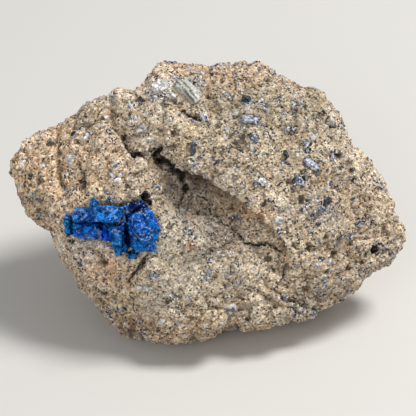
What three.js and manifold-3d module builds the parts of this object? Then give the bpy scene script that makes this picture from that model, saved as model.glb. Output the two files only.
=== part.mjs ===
// Hauyne on matrix: a cluster of blue hauyne grains in a piece of porous volcanic tuff, which also
// holds laths and chips of sanidine and grains of augite. The tuff is one solid. Its show face leans
// back, and it rests on a flat broken place underneath.
//
// Shapes are laid out in the face's own frame: u to the right, v up the face, w out of it. All in mm.
// The part stands on z = 0 with the middle of its box over the origin, and its face looks along -Y.

import * as THREE from 'three';
import { ConvexGeometry } from 'three/addons/geometries/ConvexGeometry.js';
import { SimplexNoise } from 'three/addons/math/SimplexNoise.js';
import { mergeVertices } from 'three/addons/utils/BufferGeometryUtils.js';
import Module from 'manifold-3d';

const wasm = await Module();
wasm.setup();

// ---------------------------------------------------------------- driving dimensions

const FACE_LEAN = 36;             // degrees that the show face looks up from level
const FACE_CENTRE = [-0.16, -0.34, 10.4]; // where u = v = w = 0 stands over the floor

const OVAL = [18, 13, 9];         // half sizes of the oval that the tuff roughly fills
const BEYOND = 30;                // farther from the middle than any of it
const EDGE_SHARPNESS = 7;         // how sharply the tuff's broken faces meet; 2 would be a pebble
const LUMP_ALLOWANCE = 0.2;       // how far the lumps stand out past the rim
const FACE_SEARCH = { from: -1, to: 14 };   // heights w between which the face lies
const RELIEF_FADE = { from: 0, to: 4 };     // heights w over which its relief sets in
const SKIN_DETAIL = 14;           // cuts per edge of the icosahedron that the skin starts from
const SKIN_STRETCH = [1.45, 1.2, 1]; // spreads the skin's points to the far ends, for even facets
const FRONT_CROWDING = 0.22;      // and draws them to the face, for finer ones there
const SKIN_TURN = { x: 0.4, z: 0.3 }; // keeps the icosahedron's corners off the middle of the face

const LUMPS = [                   // size across and height of the knobs that cover the tuff
  { size: 6.5, height: 0.55 },
  { size: 2.8, height: 0.32 },
  { size: 1.3, height: 0.16 },
];

const CRYSTAL_GAP = 0.06;         // between a small crystal and its pocket
const CLUSTER_GAP = 0.1;          // between the hauyne and its socket
const CLEAR = 4;                  // how far a deep cut's solid reaches out past the face
const LIFT = 0.5;                 // and a shallow one's
const WELD = 1e-5;
const HALVINGS = 18;              // of a span, to find the skin in it
const TIDY = 0.045;               // edges shorter than this are closed up after cutting

// The rim of the tuff as it is seen square to its face, corner by corner, anticlockwise.
const RIM = [
  [17.1, -0.6], [16.1, 1.9], [14.9, 3.8], [13.4, 4.6], [12.5, 5.7], [12.8, 6.6], [12.4, 8.4],
  [10.4, 10.5], [9.1, 11.2], [7.4, 11.4], [5.4, 12.4], [3.0, 13.1], [0.9, 13.1], [-0.1, 12.7],
  [-2.6, 12.7], [-3.6, 12.9], [-4.3, 12.6], [-5.2, 11.8], [-6.2, 10.3], [-8.0, 10.4], [-10.1, 9.3],
  [-11.9, 8.1], [-13.6, 7.1], [-15.8, 6.2], [-17.7, 4.4], [-18.1, 2.9], [-17.8, 1.9], [-16.5, -0.5],
  [-14.4, -2.5], [-13.5, -4.8], [-11.7, -6.8], [-9.7, -9.0], [-7.4, -11.8], [-4.9, -13.0],
  [-2.0, -12.7], [-0.5, -12.8], [0.8, -12.3], [1.8, -11.4], [2.7, -11.1], [5.1, -11.4],
  [7.7, -10.5], [9.7, -10.0], [10.9, -8.7], [12.3, -8.2], [14.1, -7.3], [15.4, -5.4], [17.0, -5.2],
  [18.1, -3.8], [18.1, -2.5],
];

// The broken faces that close the tuff in front and behind: which way each looks, and how far it
// lies from the middle.
const BROKEN_FACES = [
  { looks: [0.12, 0.30, 0.95], distance: 7.2 },
  { looks: [-0.34, 0.12, 0.93], distance: 8.2 },
  { looks: [-0.10, -0.34, 0.93], distance: 7.6 },
  { looks: [0.42, -0.22, 0.88], distance: 9.4 },
  { looks: [0.10, 0.38, -0.92], distance: 9.8 },
  { looks: [-0.42, 0.05, -0.91], distance: 10.2 },
  { looks: [0.42, -0.12, -0.90], distance: 10.6 },
  { looks: [-0.15, 0.80, -0.58], distance: 12.8 },
  { looks: [0.72, 0.42, -0.55], distance: 14.8 },
];

// Furrows run along a path in the skin, and swells are rounded rises and hollows of it.
const FURROWS = [
  { path: [[-8.3, 8.0], [-7.4, 5.9], [-6.4, 4.4], [-4.6, 4.9]], depth: 1.0, reach: 0.8 },
  { path: [[-13.1, 7.2], [-13.2, 4.4], [-12.9, 1.6]], depth: 0.8, reach: 0.8 },
  { path: [[-11.4, 4.2], [-11.0, 1.4]], depth: 0.6, reach: 0.7 },
  { path: [[-5.2, -4.6], [-6.0, -5.5], [-7.0, -6.9]], depth: 0.7, reach: 0.7 },
  { path: [[-2.0, 9.0], [-0.8, 7.9]], depth: 0.6, reach: 0.6 },
  { path: [[7.3, -5.6], [7.1, -7.4], [9.0, -8.4]], depth: 0.9, reach: 0.7 },
  { path: [[-10.0, -4.4], [-8.6, -7.2], [-5.8, -9.6]], depth: 0.35, reach: 0.9 },
];
const SWELLS = [
  { at: [-1.9, -10.0], height: 0.9, reach: 3.0 },
  { at: [-3.4, -4.0], height: 0.7, reach: 3.4 },
  { at: [-9.6, 4.2], height: 0.6, reach: 2.2 },
  { at: [-16.4, 3.6], height: -1.6, reach: 2.6 },
  { at: [5.6, 4.4], height: 0.6, reach: 5.0 },
  { at: [16.2, -1.6], height: -1.8, reach: 4.2 },
  { at: [13.6, 1.4], height: -0.7, reach: 3.0 },
  { at: [3.4, -8.6], height: -0.5, reach: 2.2 },
];
const PITS = [
  { at: [9.4, -4.1], width: 0.7, depth: 0.8 },
  { at: [13.1, -5.8], width: 0.8, depth: 0.8 },
  { at: [15.4, -4.0], width: 0.9, depth: 0.8 },
  { at: [-15.1, -0.7], width: 0.7, depth: 0.7 },
  { at: [-12.2, -3.6], width: 0.6, depth: 0.7 },
  { at: [0.8, -5.9], width: 0.6, depth: 0.6 },
  { at: [10.4, 8.2], width: 0.8, depth: 0.7 },
  { at: [6.7, -5.2], width: 0.6, depth: 0.8 },
  { at: [-6.9, 8.6], width: 0.7, depth: 0.7 },
  { at: [4.6, 5.9], width: 0.8, depth: 0.6 },
  { at: [-3.9, 9.0], width: 0.6, depth: 0.6 },
];
const PIT_FLOOR = 0.45;           // share of a pit's width that is left at its floor
const CRACKS = [
  { path: [[-2.5, 3.0], [-2.2, 0.4], [-2.4, -1.4]], width: 0.35, depth: 0.7 },
  { path: [[-0.5, 0.0], [1.5, -1.8]], width: 0.35, depth: 0.6 },
  { path: [[2.4, -2.1], [4.4, -3.2], [6.3, -3.9]], width: 0.35, depth: 0.7 },
  { path: [[-5.1, -4.5], [-5.9, -5.5], [-6.9, -6.8]], width: 0.4, depth: 0.9 },
];

// The hollow lies under the ledge: a wall that slopes down from it, and a longer rise back to the face.
const LEDGE = [
  [-4.8, 5.6], [-4.3, 4.8], [-3.3, 3.6], [-1.9, 2.9], [0.1, 2.2], [1.5, 1.4], [3.0, 0.3], [4.2, -0.5],
  [5.4, -1.6], [6.6, -3.0], [7.6, -4.3],
];
const HOLLOW_DEPTH = { left: 2.9, right: 0.7 };
const HOLLOW_WIDTH = { left: 7.0, right: 4.6 };
const HOLLOW_WALL = 2.4;          // width of the wall
const HOLLOW_LEFT = { from: -6.2, to: -3.6 };
const UNDERCUT_WIDTH = { along: 1.6, end: 0.2 };    // the cut that makes the ledge's edge crisp
const UNDERCUT_DEPTH = { ledge: 0.3, floor: 0.62 }; // as shares of the hollow's depth
const UNDERCUT_OVERHANG = 0.1;
const CREVICE = [[-4.9, 5.0], [-4.3, 5.9], [-3.3, 5.1], [-3.0, 3.9], [-3.9, 2.9], [-4.6, 3.2]];
const CREVICE_DEPTH = 4.2;
const CREVICE_FLOOR = 0.45;

const MATERIALS = {
  tuff: { color: '#b39d82', roughness: 0.95, metalness: 0 },
  hauyne: { color: '#1c4f9c', roughness: 0.2, metalness: 0 },
  sanidine: { color: '#c9c8c2', roughness: 0.25, metalness: 0 },
  augite: { color: '#26272b', roughness: 0.35, metalness: 0 },
};

// ---------------------------------------------------------------- frames and helpers

const { degToRad, lerp, smoothstep, seededRandom } = THREE.MathUtils;

const lean = degToRad(FACE_LEAN);
const UP_FACE = new THREE.Vector3(0, Math.sin(lean), Math.cos(lean));
const OUT_OF_FACE = new THREE.Vector3(0, -Math.cos(lean), Math.sin(lean));

/** A point of the face's frame in the part's own frame. */
function place(u, v, w) {
  const [x, y, z] = FACE_CENTRE;
  return new THREE.Vector3(x + u, y, z)
    .addScaledVector(UP_FACE, v)
    .addScaledVector(OUT_OF_FACE, w);
}

seededRandom(11);
const noise = new SimplexNoise({ random: () => seededRandom() });

/** The place on a path that is nearest to (u, v): its share of the way, its distance, and whether
 * (u, v) lies to the right of the path there. */
function footOn(path, u, v) {
  const point = new THREE.Vector3(u, v, 0);
  let foot = { distance: Infinity };
  for (let i = 1; i < path.length; i += 1) {
    const start = new THREE.Vector3(...path[i - 1], 0);
    const end = new THREE.Vector3(...path[i], 0);
    const t = new THREE.Line3(start, end).closestPointToPointParameter(point, true);
    const distance = start.clone().lerp(end, t).distanceTo(point);
    if (distance < foot.distance) {
      const side = end.clone().sub(start).cross(point.clone().sub(start)).z;
      foot = { distance, share: (i - 1 + t) / (path.length - 1), below: side < 0 };
    }
  }
  return foot;
}

/** The corners of a path or outline before and after corner i, or i itself at an end. */
const neighbours = (path, i) => [path[Math.max(i - 1, 0)], path[Math.min(i + 1, path.length - 1)]];

/** The middle of an outline's corners. */
function middleOf(outline) {
  return [0, 1].map((axis) => outline.reduce((sum, corner) => sum + corner[axis], 0) / outline.length);
}

/** An outline drawn in to a share of its width about its middle, then widened all round by a gap. */
function resized(outline, share, gap = 0) {
  const [mu, mv] = middleOf(outline);
  return outline.map(([u, v]) => {
    const grow = share * (1 + gap / Math.hypot(u - mu, v - mv));
    return [lerp(mu, u, grow), lerp(mv, v, grow)];
  });
}

const bell = (distance, reach) => Math.exp(-((distance / reach) ** 2));

/** A closed solid of manifold-3d from a closed three.js geometry. */
function solidOf(geometry) {
  const bare = geometry.clone();
  bare.deleteAttribute('normal');
  bare.deleteAttribute('uv');
  const welded = mergeVertices(bare, WELD);
  return new wasm.Manifold(new wasm.Mesh({
    numProp: 3,
    vertProperties: welded.attributes.position.array,
    triVerts: Uint32Array.from(welded.index.array),
  }));
}

function geometryOf(solid) {
  const { vertProperties, triVerts } = solid.getMesh();
  const geometry = new THREE.BufferGeometry();
  geometry.setAttribute('position', new THREE.BufferAttribute(vertProperties, 3));
  geometry.setIndex(new THREE.BufferAttribute(triVerts, 1));
  return geometry;
}

const joined = (solids) => solids.reduce((whole, piece) => whole.add(piece));

const parts = new THREE.Group();

function addPart(name, geometry, finish) {
  const mesh = new THREE.Mesh(geometry, new THREE.MeshStandardMaterial(MATERIALS[finish]));
  mesh.name = name;
  mesh.geometry.computeVertexNormals();
  parts.add(mesh);
}

// ---------------------------------------------------------------- the tuff's skin

/** How far the rim lies from the middle of the face in direction angle. */
function rimAt(angle) {
  const ray = new THREE.Vector2(Math.cos(angle), Math.sin(angle));
  for (let i = 0; i < RIM.length; i += 1) {
    const a = new THREE.Vector2(...RIM[i]);
    const b = new THREE.Vector2(...RIM[(i + 1) % RIM.length]);
    const turnA = ray.cross(a);
    const turnB = ray.cross(b);
    if (turnA <= 0 && turnB > 0 && a.dot(ray) > 0) {
      return a.lerp(b, turnA / (turnA - turnB)).length() - LUMP_ALLOWANCE;
    }
  }
  throw new Error('the rim does not go round the middle');
}

/** Greatest depth of the hollow, a share of the way along the ledge. */
const hollowDepth = (share) => lerp(HOLLOW_DEPTH.left, HOLLOW_DEPTH.right, share ** 1.2);

/** Depth of the hollow under the ledge at (u, v). */
function hollowAt(u, v) {
  const { share, distance, below } = footOn(LEDGE, u, v);
  if (!below) return 0;
  const depth = hollowDepth(share);
  const width = lerp(HOLLOW_WIDTH.left, HOLLOW_WIDTH.right, share);
  return depth * smoothstep(distance, 0, HOLLOW_WALL) * (1 - smoothstep(distance, HOLLOW_WALL, width))
    * smoothstep(u, HOLLOW_LEFT.from, HOLLOW_LEFT.to);
}

const total = (values) => values.reduce((sum, value) => sum + value, 0);

/** Rise of the face over its broken faces, from the swells, the furrows and the hollow. */
function relief(u, v) {
  const swells = SWELLS.map(({ at, height, reach }) => (
    height * bell(Math.hypot(u - at[0], v - at[1]), reach)
  ));
  const furrows = FURROWS.map(({ path, depth, reach }) => (
    depth * bell(footOn(path, u, v).distance, reach)
  ));
  return total(swells) - total(furrows) - hollowAt(u, v);
}

/** How near the broken faces are to closing the tuff off at a point: 1 on their common surface. */
function closure(point) {
  return total(BROKEN_FACES.map(({ looks, distance }) => {
    const share = point.dot(new THREE.Vector3(...looks)) / distance;
    return Math.max(share, 0) ** EDGE_SHARPNESS;
  }));
}

/** Height of the lumps at a point. */
function lumpAt({ x, y, z }) {
  return total(LUMPS.map(({ size, height }) => height * noise.noise3d(x / size, y / size, z / size)));
}

/** Whether a point of the face's frame is within the tuff. Lumps and relief are taken off it first;
 * then the rim and the broken faces are weighed together, so that they meet in rounded edges, and
 * the tuff reaches the rim exactly where it is widest. */
function within(point) {
  const oval = new THREE.Vector3(...OVAL);
  const outward = point.clone().divide(oval).divide(oval).normalize();
  const bare = point.clone().addScaledVector(outward, -lumpAt(point));
  bare.z -= smoothstep(point.z, RELIEF_FADE.from, RELIEF_FADE.to) * relief(point.x, point.y);
  const angle = Math.atan2(bare.y, bare.x);
  const reach = rimAt(angle);
  const rimShare = 1 - closure(new THREE.Vector3(reach * Math.cos(angle), reach * Math.sin(angle), 0));
  return closure(bare) + rimShare * (Math.hypot(bare.x, bare.y) / reach) ** EDGE_SHARPNESS < 1;
}

/** Where the tuff ends between a point within it and one outside it. */
function surfaceBetween(inside, outside) {
  const near = inside.clone();
  const far = outside.clone();
  const middle = new THREE.Vector3();
  for (let halving = 0; halving < HALVINGS; halving += 1) {
    middle.lerpVectors(near, far, 0.5);
    (within(middle) ? near : far).copy(middle);
  }
  return near;
}

/** The skin's point in a direction from the middle. */
function skin(direction) {
  return surfaceBetween(new THREE.Vector3(), direction.clone().setLength(BEYOND));
}

/** Height w of the face over (u, v). */
function faceAt(u, v) {
  const inside = new THREE.Vector3(u, v, FACE_SEARCH.from);
  return surfaceBetween(inside, new THREE.Vector3(u, v, FACE_SEARCH.to)).z;
}

/** The skin as a closed mesh: an icosphere whose points are drawn to the face, then set on the skin. */
function skinGeometry() {
  const sphere = new THREE.IcosahedronGeometry(1, SKIN_DETAIL);
  sphere.deleteAttribute('normal');
  sphere.deleteAttribute('uv');
  const globe = mergeVertices(sphere, WELD);
  globe.rotateX(SKIN_TURN.x);
  globe.rotateZ(SKIN_TURN.z);
  const { position } = globe.attributes;
  const stretch = new THREE.Vector3(...SKIN_STRETCH);
  const direction = new THREE.Vector3();
  for (let i = 0; i < position.count; i += 1) {
    direction.fromBufferAttribute(position, i);
    direction.z += FRONT_CROWDING;
    direction.multiply(stretch);
    position.setXYZ(i, ...place(...skin(direction)));
  }
  return globe;
}

// ---------------------------------------------------------------- cuts in the face

/** A convex block between two heights off the face: an outline above, a share of it below. */
function block(outline, low, high, floorShare) {
  const base = faceAt(...middleOf(outline));
  return new ConvexGeometry([
    ...outline.map(([u, v]) => place(u, v, base + high)),
    ...resized(outline, floorShare).map(([u, v]) => place(u, v, base + low)),
  ]);
}

/** A pit: a ring of six points that narrows to a smaller floor. */
function pitGeometry({ at, width, depth }) {
  const outline = [0, 1, 2, 3, 4, 5].map((i) => {
    const angle = degToRad(60 * i + 40 * at[0]);
    const reach = width * (0.8 + 0.4 * seededRandom()) / 2;
    return [at[0] + reach * Math.cos(angle), at[1] + reach * Math.sin(angle)];
  });
  return block(outline, -depth, LIFT, PIT_FLOOR);
}

/** Convex pieces end to end, each from one rib's points to the next one's. */
function ribbed(ribs) {
  return joined(ribs.slice(1).map((rib, i) => solidOf(new ConvexGeometry([...ribs[i], ...rib]))));
}

/** A crack: wedges end to end, open at the face, shut at the bottom, and narrow at the ends. */
function crackSolid({ path, width, depth }) {
  return ribbed(path.map(([u, v], i) => {
    const [[u0, v0], [u1, v1]] = neighbours(path, i);
    const across = new THREE.Vector2(v0 - v1, u1 - u0).normalize();
    const ends = i === 0 || i === path.length - 1;
    const half = (ends ? 0.4 : 1) * width / 2 * (1 + LIFT / depth);
    const base = faceAt(u, v);
    return [
      place(u + across.x * half, v + across.y * half, base + LIFT),
      place(u - across.x * half, v - across.y * half, base + LIFT),
      place(u, v, base - (ends ? 0.5 : 1) * depth),
    ];
  }));
}

/** The undercut that sharpens the ledge: wedges along it, open to the hollow. */
function undercutSolid() {
  return ribbed(LEDGE.map(([u, v], i) => {
    const [[u0, v0], [u1, v1]] = neighbours(LEDGE, i);
    const away = new THREE.Vector2(v1 - v0, u0 - u1).normalize();
    const out = (reach) => [u + away.x * reach, v + away.y * reach];
    const width = i < LEDGE.length - 1 ? UNDERCUT_WIDTH.along : UNDERCUT_WIDTH.end;
    const depth = hollowDepth(i / (LEDGE.length - 1));
    const base = faceAt(u, v);
    return [
      place(...out(0), base + LIFT),
      place(...out(width), base + LIFT),
      place(...out(-UNDERCUT_OVERHANG), base - UNDERCUT_DEPTH.ledge * depth),
      place(...out(width), base - UNDERCUT_DEPTH.floor * depth),
    ];
  }));
}

// ---------------------------------------------------------------- the hauyne

// Each grain: its outline in the face, its height over the tuff, and the share of the outline that is
// left on its top face.
const GRAINS = [
  { outline: [[-12.8, -1.1], [-12.5, -0.6], [-12.1, -0.9], [-12.1, -2.7], [-12.4, -2.9], [-12.7, -2.4]],
    rise: 0.35, top: 0.6 },
  { outline: [[-12.1, -0.7], [-11.5, -0.3], [-10.4, -0.2], [-10.0, -0.7], [-9.9, -1.5], [-11.5, -1.6],
    [-12.0, -1.3]], rise: 0.75, top: 0.7 },
  { outline: [[-10.5, -0.3], [-10.3, 0.5], [-9.9, 0.7], [-9.7, 0.2], [-9.8, -0.6]], rise: 0.5, top: 0.5 },
  { outline: [[-10.0, 0.0], [-9.3, -0.1], [-7.6, -0.3], [-7.1, -0.1], [-7.2, -0.6], [-7.7, -1.5],
    [-8.9, -1.6], [-10.0, -1.5]], rise: 0.95, top: 0.72 },
  { outline: [[-12.0, -1.9], [-11.5, -1.7], [-9.5, -1.8], [-9.4, -2.5], [-9.8, -3.1], [-11.1, -3.1],
    [-11.8, -2.8]], rise: 0.9, top: 0.74 },
  { outline: [[-9.6, -2.3], [-8.9, -2.3], [-8.5, -2.6], [-8.5, -3.3], [-8.9, -3.3], [-9.6, -3.0]],
    rise: 0.45, top: 0.6 },
  { outline: [[-8.7, -2.2], [-8.0, -1.9], [-7.4, -2.1], [-7.3, -3.2], [-7.6, -4.5], [-8.0, -4.6],
    [-8.4, -3.5]], rise: 0.6, top: 0.6 },
  { outline: [[-7.3, 0.1], [-6.5, 0.2], [-5.7, 0.5], [-5.2, -0.1], [-5.3, -0.7], [-6.5, -1.1],
    [-7.2, -0.7]], rise: 0.1, top: 0.7 },
  { outline: [[-7.0, -1.2], [-6.0, -0.6], [-5.4, -0.3], [-4.8, -0.5], [-4.5, -1.4], [-4.0, -2.2],
    [-4.4, -3.0], [-5.5, -3.1], [-6.7, -2.6]], rise: 1.35, top: 0.62 },
  { outline: [[-6.7, -2.3], [-5.5, -1.9], [-4.3, -2.4], [-4.3, -3.0], [-4.5, -4.1], [-6.2, -4.2],
    [-6.6, -3.6]], rise: 1.15, top: 0.6 },
  { outline: [[-7.1, -4.3], [-6.6, -4.0], [-6.0, -4.4], [-6.3, -4.8], [-6.9, -4.8]], rise: 0.3, top: 0.5 },
];

// Under the tuff's surface the grains grow together in two roots.
const ROOTS = [
  [[-12.5, -0.9], [-10.2, -0.4], [-7.4, -0.5], [-7.1, -1.6], [-7.4, -2.8], [-9.4, -3.0], [-12.1, -2.7]],
  [[-7.9, -0.6], [-6.2, -0.4], [-5.3, -0.2], [-4.6, -1.6], [-4.5, -2.6], [-4.8, -3.9], [-6.6, -4.4],
    [-7.8, -4.2], [-8.2, -2.6]],
];
const ROOT_TOP = -0.5;            // heights off the tuff's surface
const ROOT_FOOT = -1.7;
const GRAIN_FOOT = -1.2;
const GRAIN_FOOT_SHARE = 0.85;    // of its outline
const GRAIN_WAIST = 0.3;          // share of its rise at which a grain is widest
const GRAIN_UNEVENNESS = 0.12;    // of its top face
const DARK_CAVITY_FLOOR = -1.6;
const DARK_CAVITY = [[-6.0, 0.6], [-5.5, 1.2], [-5.0, 1.0], [-4.6, 0.1], [-5.2, -0.4]];

/** One grain: its foot under the tuff, its waist, and its uneven top face. */
function grainGeometry({ outline, rise, top }, gap) {
  const base = faceAt(...middleOf(outline));
  const ring = (share, heightAt) => resized(outline, share, gap)
    .map(([u, v], i) => place(u, v, base + heightAt(...outline[i])));
  return new ConvexGeometry([
    ...ring(GRAIN_FOOT_SHARE, () => GRAIN_FOOT - gap),
    ...ring(1, () => GRAIN_WAIST * rise + gap),
    ...ring(top, (u, v) => rise + gap + GRAIN_UNEVENNESS * Math.sin(3 * u + 5 * v)),
  ]);
}

/** The whole cluster. With a gap, it is the socket that the tuff keeps for it, open at the face. */
function hauyneSolid(gap = 0) {
  const rootTop = gap > 0 ? CLEAR : ROOT_TOP;
  return joined([
    ...GRAINS.map((grain) => solidOf(grainGeometry(grain, gap))),
    ...ROOTS.map((outline) => solidOf(block(resized(outline, 1, gap), ROOT_FOOT - gap, rootTop, 1))),
  ]);
}

// ---------------------------------------------------------------- small crystals

// at: place in the face; length, width and turn: of the lath as it is seen, in mm and degrees
// anticlockwise from u; rise: how far it stands out.
const SANIDINE = [
  { name: 'plate', at: [-1.5, 10.3], length: 3.0, width: 1.5, turn: -48, rise: 0.25 },
  { at: [-4.1, 10.7], length: 1.8, width: 1.3, turn: 60, rise: 0.3 },
  { at: [-3.0, 9.8], length: 0.9, width: 0.4, turn: -60, rise: 0.25 },
  { at: [-0.4, 11.8], length: 0.9, width: 0.35, turn: -55, rise: 0.25 },
  { at: [3.9, 7.6], length: 1.7, width: 0.8, turn: -15, rise: 0.35 },
  { at: [5.2, 8.6], length: 1.2, width: 0.5, turn: -12, rise: 0.3 },
  { at: [-5.8, 6.8], length: 1.3, width: 1.1, turn: 40, rise: 0.35 },
  { at: [-5.0, 5.9], length: 0.8, width: 0.45, turn: 20, rise: 0.3 },
  { at: [5.1, 2.0], length: 1.0, width: 0.8, turn: -60, rise: 0.3 },
  { at: [8.5, 2.0], length: 1.1, width: 0.65, turn: 0, rise: 0.3 },
  { at: [6.4, -1.3], length: 1.3, width: 0.8, turn: -20, rise: 0.35 },
  { at: [9.4, 3.6], length: 2.1, width: 0.8, turn: -35, rise: 0.3 },
  { at: [-5.5, -7.4], length: 1.8, width: 0.5, turn: 14, rise: 0.3 },
  { at: [-10.7, 6.0], length: 0.9, width: 0.8, turn: 30, rise: 0.4 },
  { at: [-12.1, 4.1], length: 1.1, width: 0.8, turn: 80, rise: 0.35 },
  { at: [-14.6, 3.5], length: 0.8, width: 0.5, turn: 100, rise: 0.3 },
  { at: [2.2, -9.3], length: 1.4, width: 1.1, turn: 10, rise: 0.35 },
  { at: [-15.4, 0.8], length: 1.0, width: 0.8, turn: 20, rise: 0.35 },
  { at: [-13.9, 5.7], length: 0.9, width: 0.7, turn: -30, rise: 0.35 },
  { at: [13.4, 0.6], length: 0.9, width: 0.6, turn: 45, rise: 0.3 },
  { at: [5.5, 11.3], length: 0.8, width: 0.5, turn: -5, rise: 0.3 },
];
const AUGITE = [
  { at: [-1.1, 5.0], length: 1.3, width: 0.35, turn: 95, rise: 0.25 },
  { at: [3.6, 9.5], length: 0.9, width: 0.5, turn: 10, rise: 0.25 },
  { at: [7.1, 4.5], length: 0.75, width: 0.35, turn: -55, rise: 0.25 },
  { at: [10.8, 0.4], length: 0.9, width: 0.6, turn: 30, rise: 0.3 },
  { at: [10.0, -1.7], length: 0.6, width: 0.4, turn: 0, rise: 0.25 },
  { at: [-15.8, 2.5], length: 0.7, width: 0.45, turn: 70, rise: 0.25 },
  { at: [13.1, 3.2], length: 0.6, width: 0.4, turn: 20, rise: 0.25 },
];

// The same crystals on the back and the sides, by the direction they lie in from the middle.
const SANIDINE_BEHIND = [
  { toward: [0.3, 0.7, -0.6], length: 1.6, width: 0.7, turn: 30, rise: 0.35 },
  { toward: [-0.5, 0.4, -0.8], length: 1.2, width: 0.9, turn: -50, rise: 0.35 },
  { toward: [0.7, 0.2, -0.7], length: 1.9, width: 0.6, turn: 75, rise: 0.35 },
  { toward: [0.0, 0.2, -1.0], length: 1.3, width: 0.8, turn: 10, rise: 0.35 },
  { toward: [-0.9, -0.1, -0.5], length: 0.9, width: 0.7, turn: 0, rise: 0.35 },
];
const AUGITE_BEHIND = [
  { toward: [0.5, 0.5, -0.8], length: 0.8, width: 0.5, turn: 20, rise: 0.3 },
  { toward: [-0.3, 0.7, -0.7], length: 0.7, width: 0.4, turn: -30, rise: 0.3 },
  { toward: [-0.7, 0.2, -0.7], length: 0.6, width: 0.5, turn: 60, rise: 0.3 },
];
const CRYSTAL_FOOT = -0.7;        // how deep a small crystal sits in the tuff
const SEAT_STEP = { at: 0.6, toward: 0.05 }; // to either side of a seat, to find which way it looks

// A small crystal seen from above, in shares of its length and width.
const CRYSTAL_OUTLINE = [[0.5, 0.1], [0.32, 0.5], [-0.38, 0.5], [-0.5, -0.15], [-0.34, -0.5], [0.4, -0.5]];
const CRYSTAL_CHIPS = 0.06;       // share by which its corners are uneven
const WAIST = { share: 1, height: 0.35 };   // height as a share of the rise
const TOP_SHARE = 0.74;
const FOOT_SHARE = 0.95;
const POCKET_MOUTH = { share: 1.06, above: 0.3 };

/** The face's point over (u, v), or the skin's point in a direction. */
function seat({ at, toward }) {
  if (toward) return skin(new THREE.Vector3(...toward));
  return new THREE.Vector3(at[0], at[1], faceAt(...at));
}

/** The outward normal of the skin round a seat, over the crystal's own length. */
function seatNormal(crystal) {
  const key = crystal.at ? 'at' : 'toward';
  const step = SEAT_STEP[key];
  const shifted = (du, dv) => {
    const [a, b, ...rest] = crystal[key];
    return seat({ [key]: [a + du, b + dv, ...rest] });
  };
  const alongU = shifted(step, 0).sub(shifted(-step, 0));
  const alongV = shifted(0, step).sub(shifted(0, -step));
  const normal = alongU.cross(alongV).normalize();
  return normal.dot(seat(crystal)) < 0 ? normal.negate() : normal;
}

/** A tabular crystal: six-sided at its waist, with chipped corners, a smaller top and a buried foot;
 * over is the ring above it that opens its pocket. */
function lathPoints(crystal) {
  const { length, width, turn, rise } = crystal;
  const normal = seatNormal(crystal);
  const lengthwise = new THREE.Vector3(Math.cos(degToRad(turn)), Math.sin(degToRad(turn)), 0);
  lengthwise.addScaledVector(normal, -lengthwise.dot(normal)).normalize();
  const across = new THREE.Vector3().crossVectors(normal, lengthwise);
  const centre = seat(crystal);
  const ring = (share, height) => CRYSTAL_OUTLINE.map(([x, y]) => {
    const chip = 1 + CRYSTAL_CHIPS * (2 * seededRandom() - 1);
    const point = centre.clone()
      .addScaledVector(lengthwise, x * length * share * chip)
      .addScaledVector(across, y * width * share * chip)
      .addScaledVector(normal, height);
    return place(...point);
  });
  return {
    foot: ring(FOOT_SHARE, CRYSTAL_FOOT),
    waist: ring(WAIST.share, WAIST.height * rise),
    top: ring(TOP_SHARE, rise),
    over: ring(POCKET_MOUTH.share, rise + POCKET_MOUTH.above),
  };
}

/** Points drawn away from their middle by the gap, which makes the pocket. */
function widened(points, gap) {
  const box = new THREE.Box3().setFromPoints(points);
  const middle = box.getCenter(new THREE.Vector3());
  const size = box.getSize(new THREE.Vector3());
  const grow = size.clone().addScalar(2 * gap).divide(size);
  return points.map((point) => point.clone().sub(middle).multiply(grow).add(middle));
}

/** Crystals of one kind, each with its node's name. */
function named(kind, list) {
  return list.map((crystal, i) => {
    const label = crystal.name ?? String(i + 1).padStart(2, '0');
    return { ...crystal, kind, node: `${kind}_${label}` };
  });
}

const crystals = [
  ...named('sanidine', [...SANIDINE, ...SANIDINE_BEHIND]),
  ...named('augite', [...AUGITE, ...AUGITE_BEHIND]),
];

// ---------------------------------------------------------------- cutting and assembly

const pockets = [];
for (const crystal of crystals) {
  const { foot, waist, top, over } = lathPoints(crystal);
  addPart(crystal.node, new ConvexGeometry([...foot, ...waist, ...top]), crystal.kind);
  pockets.push(solidOf(new ConvexGeometry(widened([...foot, ...waist, ...over], CRYSTAL_GAP))));
}

addPart('hauyne', geometryOf(hauyneSolid().simplify(TIDY)), 'hauyne');

const cuts = joined([
  undercutSolid(),
  solidOf(block(CREVICE, -CREVICE_DEPTH, CLEAR, CREVICE_FLOOR)),
  solidOf(block(DARK_CAVITY, DARK_CAVITY_FLOOR, CLEAR, CREVICE_FLOOR)),
  ...PITS.map((pit) => solidOf(pitGeometry(pit))),
  ...CRACKS.map(crackSolid),
]);
const underFloor = new THREE.BoxGeometry(2 * BEYOND, 2 * BEYOND, BEYOND).translate(0, 0, -BEYOND / 2);
const cutTuff = solidOf(skinGeometry())
  .subtract(cuts)
  .subtract(hauyneSolid(CLUSTER_GAP))
  .subtract(joined(pockets))
  .subtract(solidOf(underFloor))
  .simplify(TIDY);
const [tuff] = cutTuff.decompose().sort((a, b) => b.volume() - a.volume()); // loose crumbs are dropped
addPart('matrix', geometryOf(tuff), 'tuff');

export default parts;
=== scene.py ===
"""Hauyne on matrix: the looks of a blue hauyne cluster in porous volcanic tuff.

Lengths are millimetres until a piece is made, which turns them to metres. The show face has a frame
of its own: u to the right, v up the face, w out of it.
"""

import math

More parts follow.
